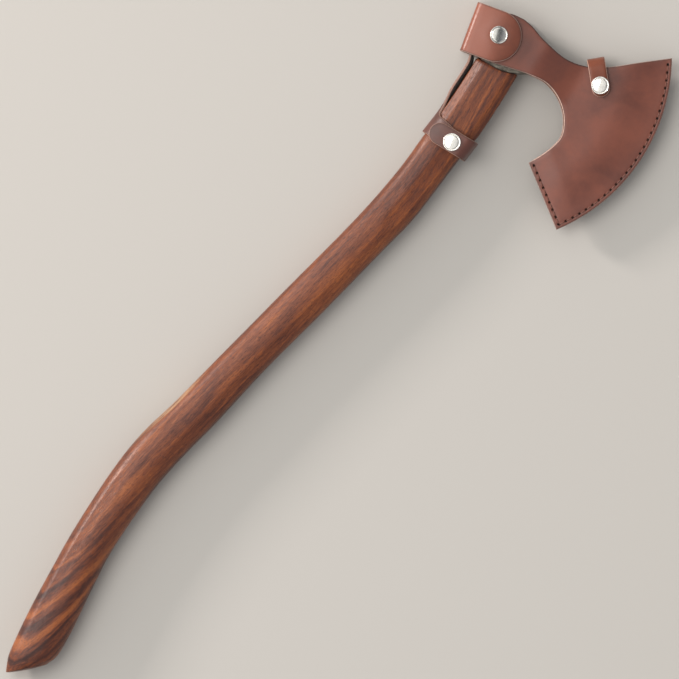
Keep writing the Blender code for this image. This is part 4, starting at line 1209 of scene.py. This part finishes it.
def build_rivet():
    """The rivet that holds the top strap to the back panel."""
    outside = TOP_BACK_FACE - STRAP
    flange, rim = -POCKET_HALF + GAP, outside - GAP
    post = raised(outside, (0, -0.6), (1.0, -0.6), (1.0, 0.4), (1.5, 0.4))
    post += raised(flange, (1.5, 0), (3.2, 0), (3.4, 0.15), (3.3, 0.45), (2.4, 0.55), (0, 0.6))
    cap = raised(rim, (0, -0.9), (1.3, -0.9), (1.3, 0), (4.2, 0), (4.4, -0.15), (4.4, -0.4), (4.1, -0.75),
                 (3.3, -1.1), (2.2, -1.3), (1.1, -1.4), (0, -1.42))
    for node, profile in (("rivet_post", post), ("rivet_cap", cap)):
        metal_piece(node, profile, top_point(TOP_RIVET, 0), "sheath")


def finish_wedges():
    for node, finish in (("wooden_wedge", pale_wood("wedge_maple")), ("steel_wedge", STEEL)):
        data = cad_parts[node].data
        data.materials.clear()
        data.materials.append(finish)


# ---------------------------------------------------------------- studio

VIEW_TURN = math.radians(31.0)              # the picture's right side, turned from +X
VIEW_HEIGHT = 12.0                          # metres above the eye's middle
VIEW_WIDTH = 0.509                          # metres across the picture at that height
VIEW_CENTRE = Vector((4.4, -254.3, 0.0))    # millimetres from the eye
PICTURE_RIGHT = Vector((math.cos(VIEW_TURN), math.sin(VIEW_TURN), 0.0))
PICTURE_UP = Vector((-math.sin(VIEW_TURN), math.cos(VIEW_TURN), 0.0))


def build_camera():
    data = bpy.data.cameras.new("camera")
    data.sensor_width = 36.0
    data.lens = data.sensor_width * VIEW_HEIGHT / VIEW_WIDTH
    camera = placed("camera", data)
    camera.location = (EYE + VIEW_CENTRE) * MM + Vector((0, 0, VIEW_HEIGHT))
    camera.rotation_euler = (0.0, 0.0, VIEW_TURN)
    bpy.context.scene.camera = camera


def lamp(name, towards, distance, size, power, colour):
    """A square soft light at a distance from the object, shining on it."""
    data = bpy.data.lights.new(name, "AREA")
    data.shape = "SQUARE"
    data.size = size
    data.energy = power
    data.color = colour
    made = placed(name, data)
    aim = towards.normalized()
    made.location = EYE * MM + Vector((0, -0.25, 0)) + aim * distance
    made.rotation_mode = "QUATERNION"
    made.rotation_quaternion = aim.to_track_quat("Z", "Y")


def build_studio():
    """A pale floor, a high and a low window on the picture's left, and a room dimmer on its right."""
    floor_mesh = bpy.data.meshes.new("floor")
    reach = 4.0
    corners = [(-reach, -reach, 0), (reach, -reach, 0), (reach, reach, 0), (-reach, reach, 0)]
    floor_mesh.from_pydata(corners, [], [(0, 1, 2, 3)])
    floor = placed("floor", floor_mesh)
    floor.location.z = cad_box[0].z - 0.0003
    floor_mesh.materials.append(new_look("pale_floor").finish((0.52, 0.50, 0.47, 1.0), 0.9))
    left = -PICTURE_RIGHT
    lamp("window", left + PICTURE_UP * 0.4 + Vector((0, 0, 2.4)), 3.2, 1.75, 36.0, (1.0, 0.965, 0.93))
    lamp("low_window", Vector((-1.0, 0.0, 0.32)), 3.2, 0.5, 82.0, (1.0, 0.92, 0.87))
    room = Look(bpy.data.worlds.new("room"))
    way = room.put("TexCoord", {}, "Generated")
    side = room.put("VectorMath", {0: way, 1: tuple(left + PICTURE_UP * 0.25)}, "Value",
                    operation="DOT_PRODUCT")
    shade = room.graded(room.math("MULTIPLY_ADD", side, 0.5, 0.5), (0.0, (0.55, 0.55, 0.56)),
                        (0.22, (0.50, 0.50, 0.51)), (0.34, (0.13, 0.13, 0.14)), (0.415, (0.13, 0.13, 0.13)),
                        (0.445, (0.95, 0.94, 0.91)), (1.0, (0.95, 0.94, 0.92)))
    room.fill(room.shader, {"Color": shade, "Strength": 1.0})
    bpy.context.scene.world = room.owner
    bpy.context.scene.view_settings.view_transform = "Standard"


def main():
    build_camera()
    build_studio()
    build_head()
    build_haft()
    finish_wedges()
    build_panels()
    for name, side, clear in (("front", 1, CLEAR_FRONT), ("back", -1, CLEAR_BACK)):
        thread_piece(f"{name}_thread", HOLES, panel_middle(side, clear), side, LEATHER / 2, False,
                     f"{name}_stitching")
    build_wrap()
    build_top_strap()
    build_handle_strap()
    build_tongue()
    build_snap("poll_snap", POLL_SNAP, EYE_BASE, LEATHER, "poll_flap", LEATHER, 0.12)
    build_snap("top_snap", TOP_SNAP, POCKET_HALF + LEATHER, STRAP, "top_flap", LEATHER, -0.06)
    build_snap("collar_snap", COLLAR_SNAP, COLLAR_ARM + STRAP / 2, STRAP, "collar_tongue", STRAP, -0.06)
    build_rivet()


main()
